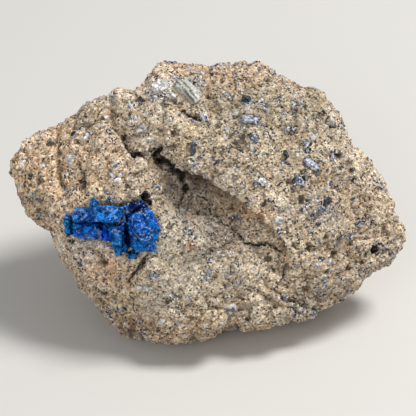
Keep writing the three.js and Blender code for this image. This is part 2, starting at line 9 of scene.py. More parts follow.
import bmesh
import bpy
import numpy as np
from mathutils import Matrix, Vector


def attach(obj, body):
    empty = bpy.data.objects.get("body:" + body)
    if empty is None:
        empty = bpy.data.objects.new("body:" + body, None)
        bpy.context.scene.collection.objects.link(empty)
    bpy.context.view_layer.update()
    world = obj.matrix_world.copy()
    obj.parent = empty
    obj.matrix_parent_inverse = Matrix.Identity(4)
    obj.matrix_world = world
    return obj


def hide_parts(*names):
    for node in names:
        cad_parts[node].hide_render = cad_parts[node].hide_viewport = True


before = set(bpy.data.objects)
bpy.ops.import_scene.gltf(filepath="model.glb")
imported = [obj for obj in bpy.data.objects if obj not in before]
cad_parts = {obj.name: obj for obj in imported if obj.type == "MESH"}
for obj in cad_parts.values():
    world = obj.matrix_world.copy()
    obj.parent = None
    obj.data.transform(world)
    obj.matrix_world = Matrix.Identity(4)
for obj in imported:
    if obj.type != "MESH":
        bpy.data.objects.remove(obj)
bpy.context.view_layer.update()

# ---------------------------------------------------------------- driving dimensions

MM = 0.001
FACE_LEAN = math.radians(36)                # the show face looks up this far from level
MIDDLE = np.array([-0.16, -0.34, 10.4])     # where u = v = w = 0 stands over the floor
FACE_AXES = np.array([
    [1, 0, 0],
    [0, math.sin(FACE_LEAN), math.cos(FACE_LEAN)],
    [0, -math.cos(FACE_LEAN), math.sin(FACE_LEAN)],
])

SKIN_SQUARE = 0.18                          # side of the squares that the tuff's skin starts from
POCKET_REACH = 0.32                         # skin this near a crystal closes over its pocket
FILL_ROUNDS = 400                           # easing that closes a pocket or the crevice
FACET_ROUNDS = 5                            # easing that takes the solid's facets away
HAUYNE_SQUARE = 0.07
HAUYNE_BED = 1.0                            # depth that the tuff is sunk to under the cluster
BED_REACH = 1.2                             # only skin this near the cluster is sunk
OUTLINE_CELL = 0.12                         # of the grid that tells what the cluster covers
OUTLINE_RIM = 6                             # cells inside the cluster's outline where its bed starts
SMALL_CRYSTAL_SQUARE = 0.065
GAPING = [(-4.9, 6.9), (-4.3, 5.4), (-2.6, 3.2)]     # the crevice (u, v), filled where it would gape
GAPING_REACH = 0.9

ASH_GRAINS = 9600                           # each a ball of 20 triangles
AUGITE_NEEDLES = 4400                       # each a lath of 12 triangles
SANIDINE_CHIPS = 2200                       # each a ball of 20 triangles
AGGREGATES = 300                            # of this many bits each
AGGREGATE_BITS = 16
CRYSTAL_CLEARANCE = 0.03                    # loose grains keep this far from a crystal
FOOT_CLEARANCE = 0.35                       # and this far over the floor

# Cracks and furrows of the show face: the route (u, v), the width and the depth.
CRACKS = [
    ([(-8.4, 8.0), (-7.9, 6.6), (-7.3, 5.4), (-6.5, 4.5), (-4.8, 4.9)], 0.15, 0.20),
    ([(-4.5, 4.6), (-3.9, 3.9), (-3.3, 3.4)], 0.32, 1.10),
    ([(-4.8, 4.9), (-4.2, 4.8)], 0.14, 0.60),
    ([(-3.4, 3.6), (-2.8, 2.8), (-2.3, 2.1), (-2.1, 1.2)], 0.22, 0.70),
    ([(-3.9, 3.6), (-3.4, 2.9), (-3.0, 2.6)], 0.14, 0.40),
    ([(-7.5, 6.1), (-7.0, 5.1), (-6.4, 4.5)], 0.20, 0.45),
    ([(-6.5, 4.6), (-6.0, 4.5)], 0.26, 0.60),
    ([(-8.4, 6.9), (-8.0, 6.7)], 0.20, 0.40),
    ([(-13.2, 5.4), (-13.4, 4.2), (-13.0, 1.6)], 0.26, 0.34),
    ([(-11.3, 3.9), (-11.2, 2.6), (-11.1, 1.6)], 0.18, 0.36),
    ([(-5.1, -4.4), (-5.9, -5.4), (-6.9, -6.8)], 0.15, 0.50),
    ([(-6.0, -4.9), (-5.2, -4.9), (-4.5, -4.6)], 0.12, 0.40),
    ([(7.3, -5.5), (6.4, -7.7), (7.2, -8.4), (9.0, -9.1)], 0.16, 0.40),
    ([(-2.1, 8.6), (-1.4, 8.0), (-0.7, 7.7)], 0.17, 0.50),
    ([(2.4, -2.0), (3.5, -3.4), (6.3, -3.9)], 0.15, 0.25),
]

# Hairline cracks, seen as dark lines: the route (u, v) and half the width.
HAIRLINES = [
    ([(-7.4, 5.8), (-7.0, 5.0), (-6.5, 4.4), (-5.0, 4.8)], 0.06),
    ([(-3.6, 3.6), (-2.9, 2.9), (-2.4, 2.0), (-2.2, 0.8), (-2.4, -0.6)], 0.07),
    ([(-2.9, 2.9), (-2.0, 2.6), (-1.0, 2.0)], 0.05),
    ([(-2.2, 1.0), (-1.2, 1.2)], 0.04),
    ([(-0.8, 0.6), (0.1, 0.1), (0.5, -0.8), (0.6, -1.4)], 0.05),
    ([(0.9, -0.9), (2.0, -2.0), (2.9, -2.6), (3.6, -3.5), (5.0, -3.8), (6.6, -4.0)], 0.06),
    ([(2.4, -2.0), (2.3, -3.2), (1.6, -3.6), (0.7, -3.2)], 0.04),
    ([(-0.3, -3.0), (0.6, -2.6), (1.4, -2.9)], 0.04),
    ([(-1.6, -3.2), (-1.8, -1.6), (-2.8, -0.9)], 0.03),
    ([(4.4, -1.6), (4.6, -3.0)], 0.03),
    ([(4.7, 3.1), (5.6, 2.2), (6.3, 1.7), (6.9, 2.1)], 0.05),
    ([(1.6, 4.3), (2.3, 5.1), (3.4, 5.5)], 0.04),
    ([(5.2, 6.9), (5.8, 5.9)], 0.06),
    ([(-6.8, -7.7), (-6.5, -9.8)], 0.05),
    ([(-9.4, -6.0), (-8.6, -7.0), (-8.4, -8.2)], 0.03),
    ([(8.0, -6.4), (9.4, -6.6), (10.4, -6.2)], 0.04),
    ([(-11.4, 3.9), (-11.2, 2.6), (-11.1, 1.2)], 0.04),
    ([(9.6, 8.6), (10.6, 8.3), (11.2, 7.4)], 0.06),
    ([(-1.9, 8.6), (-1.4, 8.0), (-0.7, 7.7)], 0.07),
]

# Swellings of the show face: the middle (u, v), the reach and the height.
SWELLINGS = [
    (-5.3, 5.0, 1.0, 0.45), (-8.0, 2.0, 1.6, 0.15), (5.9, 0.2, 1.0, 0.20), (-11.6, 3.0, 1.0, 0.20),
]

# Open pits of the show face: the middle (u, v), the radius and the depth.
PITS = [
    (-15.2, -0.5, 0.28, 0.35), (-14.3, -0.6, 0.22, 0.35), (-13.6, -1.0, 0.24, 0.35),
    (-5.5, 0.80, 0.34, 1.20), (-5.0, 0.35, 0.26, 0.90),
    (9.3, -4.0, 0.30, 0.30), (12.9, -5.7, 0.26, 0.30), (15.3, -4.1, 0.44, 0.60),
    (10.9, 7.6, 0.32, 0.45), (10.0, 8.0, 0.22, 0.35), (11.4, 7.0, 0.24, 0.40), (12.0, 4.4, 0.34, 0.45),
    (-12.1, -3.2, 0.34, 0.35), (1.0, -6.3, 0.26, 0.30), (10.4, 8.1, 0.40, 0.30),
    (3.5, 0.7, 0.20, 0.25), (2.8, 8.9, 0.24, 0.25),
]

# Parts of the show face with a colour of their own: most weathered, some painted shade, some painted
# light.
# Each row: the middle (u, v), the reach along u and v, the colour and how far it goes there.
WEATHERING_AND_PAINTED_SHADING = [
    (-2.8, -2.6, 2.4, 4.0, "#bcb09c", 0.70),    # sheltered floor under the ledge, pale and even
    (-2.8, -7.0, 2.8, 2.2, "#e0cfb2", 0.75),    # pale end of that floor
    (2.0, 11.8, 9.0, 1.6, "#bb9069", 0.50),     # rusty upper rim
    (1.6, 12.7, 1.9, 0.6, "#cdbb9e", 0.70),     # smooth cap on that rim
    (-10.2, -8.6, 3.6, 2.8, "#8d7257", 0.60),   # lower left flank, browner, and darker as painted shade
    (-3.4, -11.2, 6.0, 2.0, "#a07a52", 0.65),   # foot
    (15.8, -2.4, 3.0, 4.2, "#a98c6a", 0.45),    # right end
    (-13.0, 4.0, 5.4, 5.0, "#e2ba90", 0.65),    # left block
    (-15.6, 0.0, 2.0, 2.2, "#93795e", 0.60),    # its underside
    (6.8, 8.0, 7.0, 3.8, "#97886c", 0.66),      # speckled upper face
    (2.8, 8.2, 2.4, 2.0, "#8c7d66", 0.50),      # its darkest part
    (1.4, -2.6, 2.2, 2.2, "#6c5d4c", 0.75),     # floor beside the wall, darkened as painted shade of the hollow
    (11.6, -6.6, 2.6, 2.0, "#a08a6e", 0.45),    # lower right flank
    (-1.4, 2.3, 2.5, 1.1, "#46331f", 0.85),     # wall beside the crevice: brown, deepened by painted shade
    (-5.1, 5.1, 1.2, 0.9, "#f0dfc0", 0.80),     # end of the valley above the cluster, brightened: painted light over its shade
    (-6.3, 3.2, 1.7, 1.5, "#a08c72", 0.55),     # shaded slope below it
    (-8.2, 7.9, 1.6, 1.5, "#8f795f", 0.65),     # grey saddle beside the left block
    (-12.2, 2.5, 2.0, 2.4, "#ffdcb2", 0.75),    # rounded shoulder of the left block: painted light
    (-16.2, 2.4, 1.6, 2.6, "#f6d2a6", 0.70),    # its tip: painted light
    (4.0, 7.5, 1.3, 1.3, "#77695a", 0.50),      # dark bits worked in beside the big lath
    (-1.0, 6.9, 2.4, 1.0, "#e2cda9", 0.45),     # smooth band above the crevice
    (5.8, -0.5, 0.9, 0.9, "#efdcbc", 0.70),     # worn corner of the lip
    (8.8, -3.2, 1.6, 1.3, "#e6d0ae", 0.60),     # swelling beyond the wall
    (-1.5, -1.5, 1.1, 1.7, "#85765f", 0.65),    # floor beside the crevice, darkened as painted shade of the hollow
    (-1.2, 0.6, 1.4, 1.4, "#74634f", 0.60),     # deep end of the hollow: painted shade
    (7.4, -3.9, 0.9, 0.9, "#f4e0be", 0.70),     # worn edge beyond the wall
    (2.5, -4.3, 2.0, 1.3, "#8b765e", 0.60),     # floor at the crack, darkened as painted shade of the hollow
    (-3.4, -4.2, 1.0, 1.1, "#e0d2b8", 0.60),    # bare pale floor
    (-7.2, -7.8, 1.4, 1.2, "#dcc29c", 0.60),    # bulge of the lower left flank
    (7.9, -8.8, 2.0, 1.7, "#6f583f", 0.70),     # shaded lower right flank
    (11.4, -5.2, 1.2, 2.4, "#8b7458", 0.50),    # hollow below the right end
    (-4.2, 10.2, 1.5, 1.3, "#f0e8da", 0.60),    # white bloom round the crystals of the top
    (-10.2, 8.5, 1.3, 1.0, "#dcc09a", 0.60),    # edge of the left block
    (-9.9, 1.2, 1.6, 0.9, "#f2d6ac", 0.60),     # pale band over the cluster
    (5.8, 4.9, 1.2, 0.9, "#e6d4b0", 0.55),      # pale spot of the upper face
    (9.5, 5.2, 1.0, 0.8, "#e6d4b0", 0.55),      # another, to its right
    (0.4, -6.0, 1.0, 1.0, "#ead8b8", 0.60),     # crumbling edge of the floor
    (-1.0, -9.6, 2.8, 1.0, "#e4cca6", 0.50),    # ridge over the foot
    (-6.9, -11.3, 1.4, 0.9, "#6a5038", 0.70),   # shaded end of the foot
    (2.6, 0.0, 1.4, 0.9, "#b89c78", 0.60),      # middle of the wall
    (4.8, -1.0, 1.5, 1.0, "#dcae80", 0.85),     # rusty far end of the wall
    (5.2, -3.0, 2.2, 1.3, "#dcc6a6", 0.75),     # foot of the wall's far end
    (-9.2, -5.6, 2.2, 1.6, "#e2b487", 0.70),    # under the cluster
    (6.4, -5.4, 2.2, 2.6, "#dcc3a2", 0.70),     # notch at the wall's far end
]
RIND = "#b98d60"                            # rusty rind of the old, unbroken sides
UMBER_STAIN_AND_SHADE = "#5a4332"                    # stain of the wall under the lip, deepened as painted shade

# Lip of the ledge (u, v), from the crevice to where it runs out; the hollow is on its lower left.
LEDGE = [(-4.6, 5.2), (-4.3, 4.6), (-3.3, 3.6), (-1.9, 2.9), (0.1, 2.2), (1.5, 1.4), (3.0, 0.3),
         (4.2, -0.5), (5.4, -1.6), (6.6, -3.0), (7.8, -4.4)]
WALL_WIDTH = 2.6                            # of the steep wall under the lip
LIP_DEPTH = 0.60                            # that the wall is cut back just under the lip

# ---------------------------------------------------------------- frames, noise and cells


def to_part(uvw):
    """Points of the face's frame in the part's frame: the middle, plus each number along its axis."""
    return MIDDLE + np.asarray(uvw, float) @ FACE_AXES


def to_face(points):
    """Points of the part's frame in the face's frame: what they are from the middle, axis by axis."""
    return (points - MIDDLE) @ FACE_AXES.T


def step(x, low, high):
    """Rises smoothly from 0 at low to 1 at high: 3t^2 - 2t^3."""
    t = np.clip((x - low) / (high - low), 0, 1)
    return t * t * (3 - 2 * t)


def scramble(corner, seed):
    """A number from 0 to 1 for each whole-numbered corner: its numbers times large primes, mixed."""
    h = corner @ np.array([374761393, 668265263, 1440670441]) + seed * 1274126177
    h = h & 0xFFFFFFFF
    h = ((h ^ (h >> 13)) * 1274126177) & 0xFFFFFFFF
    h = ((h ^ (h >> 15)) * 668265263) & 0xFFFFFFFF
    return (h ^ (h >> 16)) / 0xFFFFFFFF


TWIST = np.array([[0.36, 0.48, -0.8], [-0.8, 0.6, 0.0], [0.48, 0.64, 0.6]])  # a turn off every axis


def noise(points, size, seed):
    """Smooth noise from -1 to 1 whose bumps are about size across: random values at the corners of
    cubes, blended between them by 6t^5 - 15t^4 + 10t^3."""
    place = points @ TWIST / size
    cell = np.floor(place).astype(np.int64)
    t = place - cell
    blend = t ** 3 * (t * (6 * t - 15) + 10)
    total = np.zeros(len(points))
    for corner in np.ndindex(2, 2, 2):
        weight = np.prod(np.where(corner, blend, 1 - blend), axis=1)
        total += weight * scramble(cell + corner, seed)
    return 2 * total - 1


def seeds_near(points, size, seed):
    """The nearest two of points that are scattered one to a cube of side size: the distances to
    both, the nearest one's place, and a whole-numbered corner that tells it from the others."""
    cell = np.floor(points / size).astype(np.int64)
    first = np.full(len(points), np.inf)
    second = np.full(len(points), np.inf)
    place = np.zeros_like(points)
    name = np.zeros_like(cell)
    for offset in np.ndindex(3, 3, 3):
        corner = cell + np.array(offset) - 1
        inside = np.stack([scramble(corner, seed + k) for k in (1, 2, 3)], axis=1)
        spot = (corner + inside) * size
        distance = np.linalg.norm(points - spot, axis=1)
        nearer = distance < first
        second = np.where(nearer, first, np.minimum(second, distance))
        place = np.where(nearer[:, None], spot, place)
        name = np.where(nearer[:, None], corner, name)
        first = np.where(nearer, distance, first)
    return first, second, place, name


def pores(points, size, radii, share, seed):
    """Depth of ragged pores: one to a cube of side size, in a share of the cubes, each a ball's
    inside, r sqrt(1 - d^2 / r^2), with r between the two radii and d stretched by noise."""
    distance, _, _, name = seeds_near(points, size, seed)
    distance = distance * (1 + 0.45 * noise(points, 0.35 * size, seed + 6))
    radius = radii[0] + (radii[1] - radii[0]) * scramble(name, seed + 4) ** 2
    depth = np.sqrt(np.clip(1 - (distance / radius) ** 2, 0, 1)) * radius
    return np.where(scramble(name, seed + 5) < share, depth, 0)


def broken(points, size, lean, seed):
    """Height of faces left by breaking: round each seed, one to a cube of side size, a plane tilted
    at random, (p - seed) . tilt, so that the height steps from one face to the next."""
    _, _, place, name = seeds_near(points, size, seed)
    tilt = np.stack([scramble(name, seed + k) for k in (6, 7, 8)], axis=1) - 0.5
    return 2 * lean * np.sum((points - place) * tilt, axis=1)


def combed(points, along, size, stretch, seed):
    """Noise drawn out along a direction, as in striations: the part along it is divided first."""
    along = along / np.linalg.norm(along)
    drawn = points - np.outer(points @ along, along) * (1 - 1 / stretch)
    return noise(drawn, size, seed)


def side_of(places, path):
    """How far each place is from a path of straight steps, less than 0 on the path's right."""
    path = np.asarray(path, float)
    nearest = np.full(len(places), np.inf)
    for start, end in zip(path[:-1], path[1:]):
        way = end - start
        off = places - start
        t = np.clip(off @ way / (way @ way), 0, 1)
        distance = np.linalg.norm(off - t[:, None] * way, axis=1)
        signed = np.where(way[0] * off[:, 1] - way[1] * off[:, 0] < 0, -distance, distance)
        nearest = np.where(distance < np.abs(nearest), signed, nearest)
    return nearest


def path_distance(places, path):
    """How far each place is from a path of straight steps, whichever side it is on."""
    return np.abs(side_of(places, path))


def mixed(colours, other, share):
    """Colours moved to another by a share of the way, given point by point."""
    return colours + (other - colours) * np.asarray(share)[:, None]


# ---------------------------------------------------------------- meshes


def edges_of(faces):
    """The pairs of corners that share a side, each pair once."""
    pairs = np.sort(np.stack([faces, np.roll(faces, -1, axis=1)], axis=2).reshape(-1, 2), axis=1)
    return np.unique(pairs, axis=0)


def normals_of(points, faces):
    """Unit normals at the points: the mean of the faces' own, weighed by their areas."""
    across = points[faces[:, 2]] - points[faces[:, 0]]
    along = points[faces[:, -1]] - points[faces[:, 1]]
    face = np.cross(across, along)
    total = np.stack([
        sum(np.bincount(faces[:, k], face[:, axis], len(points)) for k in range(faces.shape[1]))
        for axis in range(3)
    ], axis=1)
    return total / np.maximum(np.linalg.norm(total, axis=1, keepdims=True), 1e-12)


def eased(values, edges, share, rounds):
    """Values moved a share of the way to their neighbours' mean, for some rounds."""
    count = len(values)
    degree = np.maximum(np.bincount(edges.ravel(), minlength=count), 1)
    values = values.reshape(count, -1)
    share = np.broadcast_to(np.asarray(share, float), count)[:, None]
    a, b = edges.T
    for _ in range(rounds):
        total = np.stack([
            np.bincount(a, column[b], count) + np.bincount(b, column[a], count)
            for column in values.T
        ], axis=1)
        values = values + share * (total / degree[:, None] - values)
    return values


def filled(points, edges, hole, rounds):
    """The points in the hole drawn into a smooth patch across it, the others left alone."""
    touching = hole[edges].any(axis=1)
    used, index = np.unique(edges[touching], return_inverse=True)
    patch = eased(points[used], index.reshape(-1, 2), hole[used].astype(float), rounds)
    result = points.copy()
    result[used] = patch
    return result


def plain_object(name, points, faces):
    """A mesh from arrays, in the scene as they stand."""
    mesh = bpy.data.meshes.new(name)
    mesh.from_pydata(np.asarray(points).tolist(), [], np.asarray(faces).tolist())
    thing = bpy.data.objects.new(name, mesh)
    bpy.context.scene.collection.objects.link(thing)
    return thing


def read_mesh(mesh):
    """A triangle mesh as arrays: its points and its faces."""
    points = np.empty(len(mesh.vertices) * 3)
    mesh.vertices.foreach_get("co", points)
    mesh.calc_loop_triangles()
    faces = np.empty(len(mesh.loop_triangles) * 3, np.int32)
    mesh.loop_triangles.foreach_get("vertices", faces)
    return points.reshape(-1, 3), faces.reshape(-1, 3).astype(np.int64)


def after_modifier(thing, kind, **settings):
    """The object's mesh as arrays, as one modifier leaves it; the object itself is removed."""
    modifier = thing.modifiers.new(kind.lower(), kind)
    for key, value in settings.items():
        setattr(modifier, key, value)
    evaluated = thing.evaluated_get(bpy.context.evaluated_depsgraph_get())
    result = read_mesh(evaluated.data)
    bpy.data.objects.remove(thing)
    return result


def cad_copy(*nodes):
    """CAD nodes copied into one object in millimetres, with their triangles merged."""
    shape = bmesh.new()
    for name in nodes:
        shape.from_mesh(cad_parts[name].data)
    bmesh.ops.scale(shape, vec=Vector((1, 1, 1)) / MM, verts=shape.verts)
    bmesh.ops.remove_doubles(shape, verts=shape.verts, dist=1e-3)
    mesh = bpy.data.meshes.new("copy")
    shape.to_mesh(mesh)
    shape.free()
    thing = bpy.data.objects.new("copy", mesh)
    bpy.context.scene.collection.objects.link(thing)
    return thing


def in_squares(square, *nodes):
    """CAD nodes as one skin of even squares with sides of that length, each cut into triangles."""
    return after_modifier(cad_copy(*nodes), "REMESH", mode="VOXEL", voxel_size=square)


def nearest_on(points, target):
    """The target's nearest place to each point, and how far it is."""
    cloud = plain_object("cloud", points, np.zeros((0, 3), int))
    found, _ = after_modifier(cloud, "SHRINKWRAP", target=target, wrap_method="NEAREST_SURFACEPOINT")
    return found, np.linalg.norm(found - points, axis=1)


def paint(thing, name, columns):
    """Numbers for every point, kept in a colour attribute; columns are arrays or single numbers."""
    count = len(thing.data.vertices)
    table = np.stack([np.broadcast_to(np.asarray(c, float), count) for c in columns], axis=1)
    layer = thing.data.color_attributes.new(name, "FLOAT_COLOR", "POINT")
    layer.data.foreach_set("color", table.ravel())


def make_piece(name, points, faces, material, tint, speckling=1.0, smooth=True):
    """A finished piece: its mesh in metres at the origin, riding on the one body, with its colours
    in an attribute, whose alpha says how speckled each place is."""
    thing = plain_object(name, points * MM, faces)
    thing.data.polygons.foreach_set("use_smooth", np.full(len(faces), smooth))
    paint(thing, "tint", (*tint.T, speckling))
    thing.data.materials.append(material)
    thing.data.update()
    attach(thing, "root")
    return thing


# ---------------------------------------------------------------- colours and nodes


def linear(hexes):
    """sRGB hex colours as linear red, green and blue: ((c + 0.055) / 1.055)^2.4, or c / 12.92."""
    hexes = [hexes] if isinstance(hexes, str) else hexes
    c = np.array([[int(h[i:i + 2], 16) / 255 for i in (1, 3, 5)] for h in hexes])
    return np.squeeze(np.where(c > 0.04045, ((c + 0.055) / 1.055) ** 2.4, c / 12.92))


def node(tree, kind, settings=None, **inputs):
    """Adds a node: settings are its own properties; an input, called by its name with _ for a space
    or by its identifier, is a value, an output, or a node, which stands for its first output."""
    made = tree.nodes.new(kind)
    for key, value in (settings or {}).items():
        setattr(made, key, value)
    for key, value in inputs.items():
        socket = next(s for s in made.inputs
                      if s.enabled and key in (s.name.replace(" ", "_"), s.identifier))
        if isinstance(value, bpy.types.Node):
            value = next(s for s in value.outputs if s.enabled)
        if isinstance(value, bpy.types.NodeSocket):
            tree.links.new(value, socket)
        else:
            socket.default_value = value
    return made


def rgba(hex_colour):
    """A hex colour as a shader takes it: linear, and opaque."""
    return (*linear(hex_colour), 1)


def new_material(name):
    """An empty material, and the tree that its nodes go into."""
    material = bpy.data.materials.new(name)
    material.use_nodes = True
    tree = material.node_tree
    tree.nodes.clear()
    return material, tree


def per_mm(size):
    """Texture scale that makes a pattern repeat about every size millimetres."""
    return 1 / (size * MM)


def flecks(tree, where, amount, turn, length, width, share):
    """A mask of scattered flecks: cells of length by width by width millimetres, turned; in a share
    of them, times amount, the middle is 1 and fades to 0 a third of the way out."""
    turned = node(tree, "ShaderNodeMapping", {"vector_type": "TEXTURE"}, Vector=where,
                  Rotation=turn, Scale=(length * MM, width * MM, width * MM))
    cells = node(tree, "ShaderNodeTexVoronoi", Vector=turned, Scale=1.0)
    middle = node(tree, "ShaderNodeMapRange", {"clamp": True}, Value=cells,
                  From_Min=0.24, From_Max=0.36, To_Min=1.0, To_Max=0.0)
    lot = node(tree, "ShaderNodeSeparateXYZ", Vector=cells.outputs["Color"])
    share = node(tree, "ShaderNodeMath", {"operation": "MULTIPLY"}, Value=amount, Value_001=share)
    chosen = node(tree, "ShaderNodeMath", {"operation": "LESS_THAN"}, Value=lot, Value_001=share)
    return node(tree, "ShaderNodeMath", {"operation": "MULTIPLY"}, Value=middle, Value_001=chosen)


def over(tree, below, mask, above):
    """A colour laid over another where the mask is 1."""
    return node(tree, "ShaderNodeMix", {"data_type": "RGBA"}, Factor=mask, A=below, B=above)


def hairlines(tree, raggedness):
    """A mask of fine cracks: where a point's way off the nearest crack, in half widths and signed,
    plus some raggedness, is under 1, as long as the piece's attribute says that a crack is near."""
    place = node(tree, "ShaderNodeVertexColor", {"layer_name": "cracks"})
    off, near, _ = node(tree, "ShaderNodeSeparateXYZ", Vector=place).outputs
    ragged = node(tree, "ShaderNodeMath", {"operation": "MULTIPLY_ADD"}, Value=raggedness,
                  Value_001=7.0, Value_002=off)
    centred = node(tree, "ShaderNodeMath", {"operation": "SUBTRACT"}, Value=ragged, Value_001=3.5)
    width = node(tree, "ShaderNodeMath", {"operation": "ABSOLUTE"}, Value=centred)
    inside = node(tree, "ShaderNodeMapRange", {"clamp": True}, Value=width,
                  From_Min=0.7, From_Max=1.3, To_Min=1.0, To_Max=0.0)
    close = node(tree, "ShaderNodeMapRange", {"clamp": True}, Value=near,
                 From_Min=0.1, From_Max=0.4, To_Min=0.0, To_Max=1.0)
    return node(tree, "ShaderNodeMath", {"operation": "MULTIPLY"}, Value=inside, Value_001=close)


def tuff_material():
    """Weathered phonolitic tuff: fine volcanic ash stuck together, broken by hand, never worn
    smooth. To the eye it is dull and sugary, each grain a little lighter or darker than the next,
    with black augite needles, pinholes and pale sanidine dots everywhere."""
    material, tree = new_material("porous volcanic tuff")
    where = node(tree, "ShaderNodeTexCoord").outputs["Object"]
    tint = node(tree, "ShaderNodeVertexColor", {"layer_name": "tint"})
    ash = node(tree, "ShaderNodeTexNoise", Vector=where, Scale=per_mm(0.30), Detail=4.0,
               Roughness=0.8)
    ash_shade = node(tree, "ShaderNodeMapRange", {"clamp": True}, Value=ash,
                     From_Min=0.32, From_Max=0.68, To_Min=0.66, To_Max=1.36)
    grit = node(tree, "ShaderNodeTexVoronoi", Vector=where, Scale=per_mm(0.16))
    grit_lot = node(tree, "ShaderNodeSeparateXYZ", Vector=grit.outputs["Color"])
    grit_shade = node(tree, "ShaderNodeMapRange", Value=grit_lot, To_Min=0.60, To_Max=1.44)
    shade = node(tree, "ShaderNodeMath", {"operation": "MULTIPLY"}, Value=ash_shade,
                 Value_001=grit_shade)
    bend = node(tree, "ShaderNodeTexNoise", Vector=where, Scale=per_mm(0.25))
    bent = node(tree, "ShaderNodeVectorMath", {"operation": "MULTIPLY_ADD"},
                Vector=bend.outputs["Color"], Vector_001=(0.25 * MM,) * 3, Vector_002=where)
    crumb = node(tree, "ShaderNodeTexVoronoi", {"feature": "DISTANCE_TO_EDGE"}, Vector=bent,
                 Scale=per_mm(0.42))
    seam = node(tree, "ShaderNodeMapRange", {"clamp": True}, Value=crumb,
                From_Min=0.0, From_Max=0.10, To_Min=0.60, To_Max=1.05)
    shade = node(tree, "ShaderNodeMath", {"operation": "MULTIPLY"}, Value=shade, Value_001=seam)
    colour = node(tree, "ShaderNodeVectorMath", {"operation": "SCALE"}, Vector=tint, Scale=shade)
    amount = tint.outputs["Alpha"]
    pinholes = flecks(tree, where, amount, (0.3, 0.2, 0.5), 0.36, 0.34, 0.30)
    colour = over(tree, colour, pinholes, rgba("#5a4634"))
    pale = node(tree, "ShaderNodeVectorMath", {"operation": "SCALE"}, Vector=tint, Scale=1.45)
    colour = over(tree, colour, flecks(tree, where, 1.0, (0.9, 0.4, 0.2), 0.44, 0.32, 0.32), pale)
    grey = node(tree, "ShaderNodeHueSaturation", Saturation=0.1, Value=0.75, Color=tint)
    colour = over(tree, colour, flecks(tree, where, amount, (0.2, 1.1, 0.7), 0.44, 0.28, 0.22), grey)
    for turn, dark in (((0.4, 0.9, 1.3), "#2a2728"), ((1.2, 0.3, 2.4), "#423c39")):
        needles = flecks(tree, where, amount, turn, 0.72, 0.24, 0.13)
        colour = over(tree, colour, needles, rgba(dark))
    colour = over(tree, colour, hairlines(tree, ash), rgba("#14100d"))
    depth = node(tree, "ShaderNodeMath", {"operation": "SUBTRACT"}, Value=ash, Value_001=pinholes)
    depth = node(tree, "ShaderNodeMath", {"operation": "ADD"}, Value=depth, Value_001=crumb)
    bump = node(tree, "ShaderNodeBump", Strength=0.9, Distance=0.12 * MM, Height=depth)
    shader = node(tree, "ShaderNodeBsdfPrincipled", Base_Color=colour, Roughness=0.9, IOR=1.5,
                  Normal=bump)
    node(tree, "ShaderNodeOutputMaterial", Surface=shader)
    return material


def crystal_material(name, roughness, ior, grain, contrast, bump_height, transmission, gloss=0.5):
    """A mineral broken across: its own colours from the piece, clouded by fine fractures of size
    grain millimetres, which also catch the light as small bumps under a glassy surface."""
    material, tree = new_material(name)
    where = node(tree, "ShaderNodeTexCoord").outputs["Object"]
    tint = node(tree, "ShaderNodeVertexColor", {"layer_name": "tint"})
    cloud = node(tree, "ShaderNodeTexNoise", Vector=where, Scale=per_mm(grain), Detail=4.0,
                 Roughness=0.7)
    shade = node(tree, "ShaderNodeMapRange", {"clamp": True}, Value=cloud,
                 From_Min=0.3, From_Max=0.7, To_Min=1 - contrast, To_Max=1 + contrast)
    colour = node(tree, "ShaderNodeVectorMath", {"operation": "SCALE"}, Vector=tint, Scale=shade)
    bump = node(tree, "ShaderNodeBump", Strength=0.8, Distance=bump_height * MM, Height=cloud)
    shader = node(tree, "ShaderNodeBsdfPrincipled", Base_Color=colour, Roughness=roughness,
                  IOR=ior, Transmission_Weight=transmission, Specular_IOR_Level=gloss,
                  Normal=bump)
    node(tree, "ShaderNodeOutputMaterial", Surface=shader)
    return material


# ---------------------------------------------------------------- the tuff

small_crystals = sorted(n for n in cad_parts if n.startswith(("sanidine_", "augite_")))


def distance_to(points, *nodes):
    """How far each point is from some CAD nodes."""
    copy = cad_copy(*nodes)
    _, away = nearest_on(points, copy)
    bpy.data.objects.remove(copy)
    return away


def under(places, points, cell, rim):
    """True for each place (u, v) that some points cover when seen from the front, more than rim
    cells inside their outline: the points tick the cells of a grid, whose ticks then shrink."""
    low = points.min(axis=0) - 4 * cell
    size = np.ceil((points.max(axis=0) - low) / cell).astype(int) + 4
    ticked = np.zeros(size, bool)
    ticked[tuple(((points - low) / cell).astype(int).T)] = True
    for _ in range(rim):
        for axis, way in ((0, 1), (0, -1), (1, 1), (1, -1)):
            ticked = ticked & np.roll(ticked, way, axis=axis)
    square = np.clip(((places - low) / cell).astype(int), 0, size - 1)
    return ticked[tuple(square.T)]


def tuff_skin():
    """The stone's skin before its grain is raised: the CAD solid in even squares, with the pockets
    of the crystals closed over and the solid's facets eased away. Under the cluster the pocket's
    floor is sunk again, so that no tuff shows between its grains."""
    points, faces = in_squares(SKIN_SQUARE, "matrix")
    edges = edges_of(faces)
    to_hauyne = distance_to(points, "hauyne")
    to_crystal = np.minimum(to_hauyne, distance_to(points, *small_crystals))
    gaping = path_distance(to_face(points)[:, :2], GAPING) < GAPING_REACH
    points = filled(points, edges, (to_crystal < POCKET_REACH) | gaping, FILL_ROUNDS)
    points = eased(points, edges, 0.5, FACET_ROUNDS)
    cluster, _ = in_squares(HAUYNE_SQUARE, "hauyne")
    covered = under(to_face(points)[:, :2], to_face(cluster)[:, :2], OUTLINE_CELL, OUTLINE_RIM)
    covered &= to_hauyne < BED_REACH
    sunk = eased(covered.astype(float), edges, 0.5, 2)[:, 0]
    points = points - np.outer(HAUYNE_BED * sunk, FACE_AXES[2])
    return points, faces, edges, to_crystal, to_hauyne


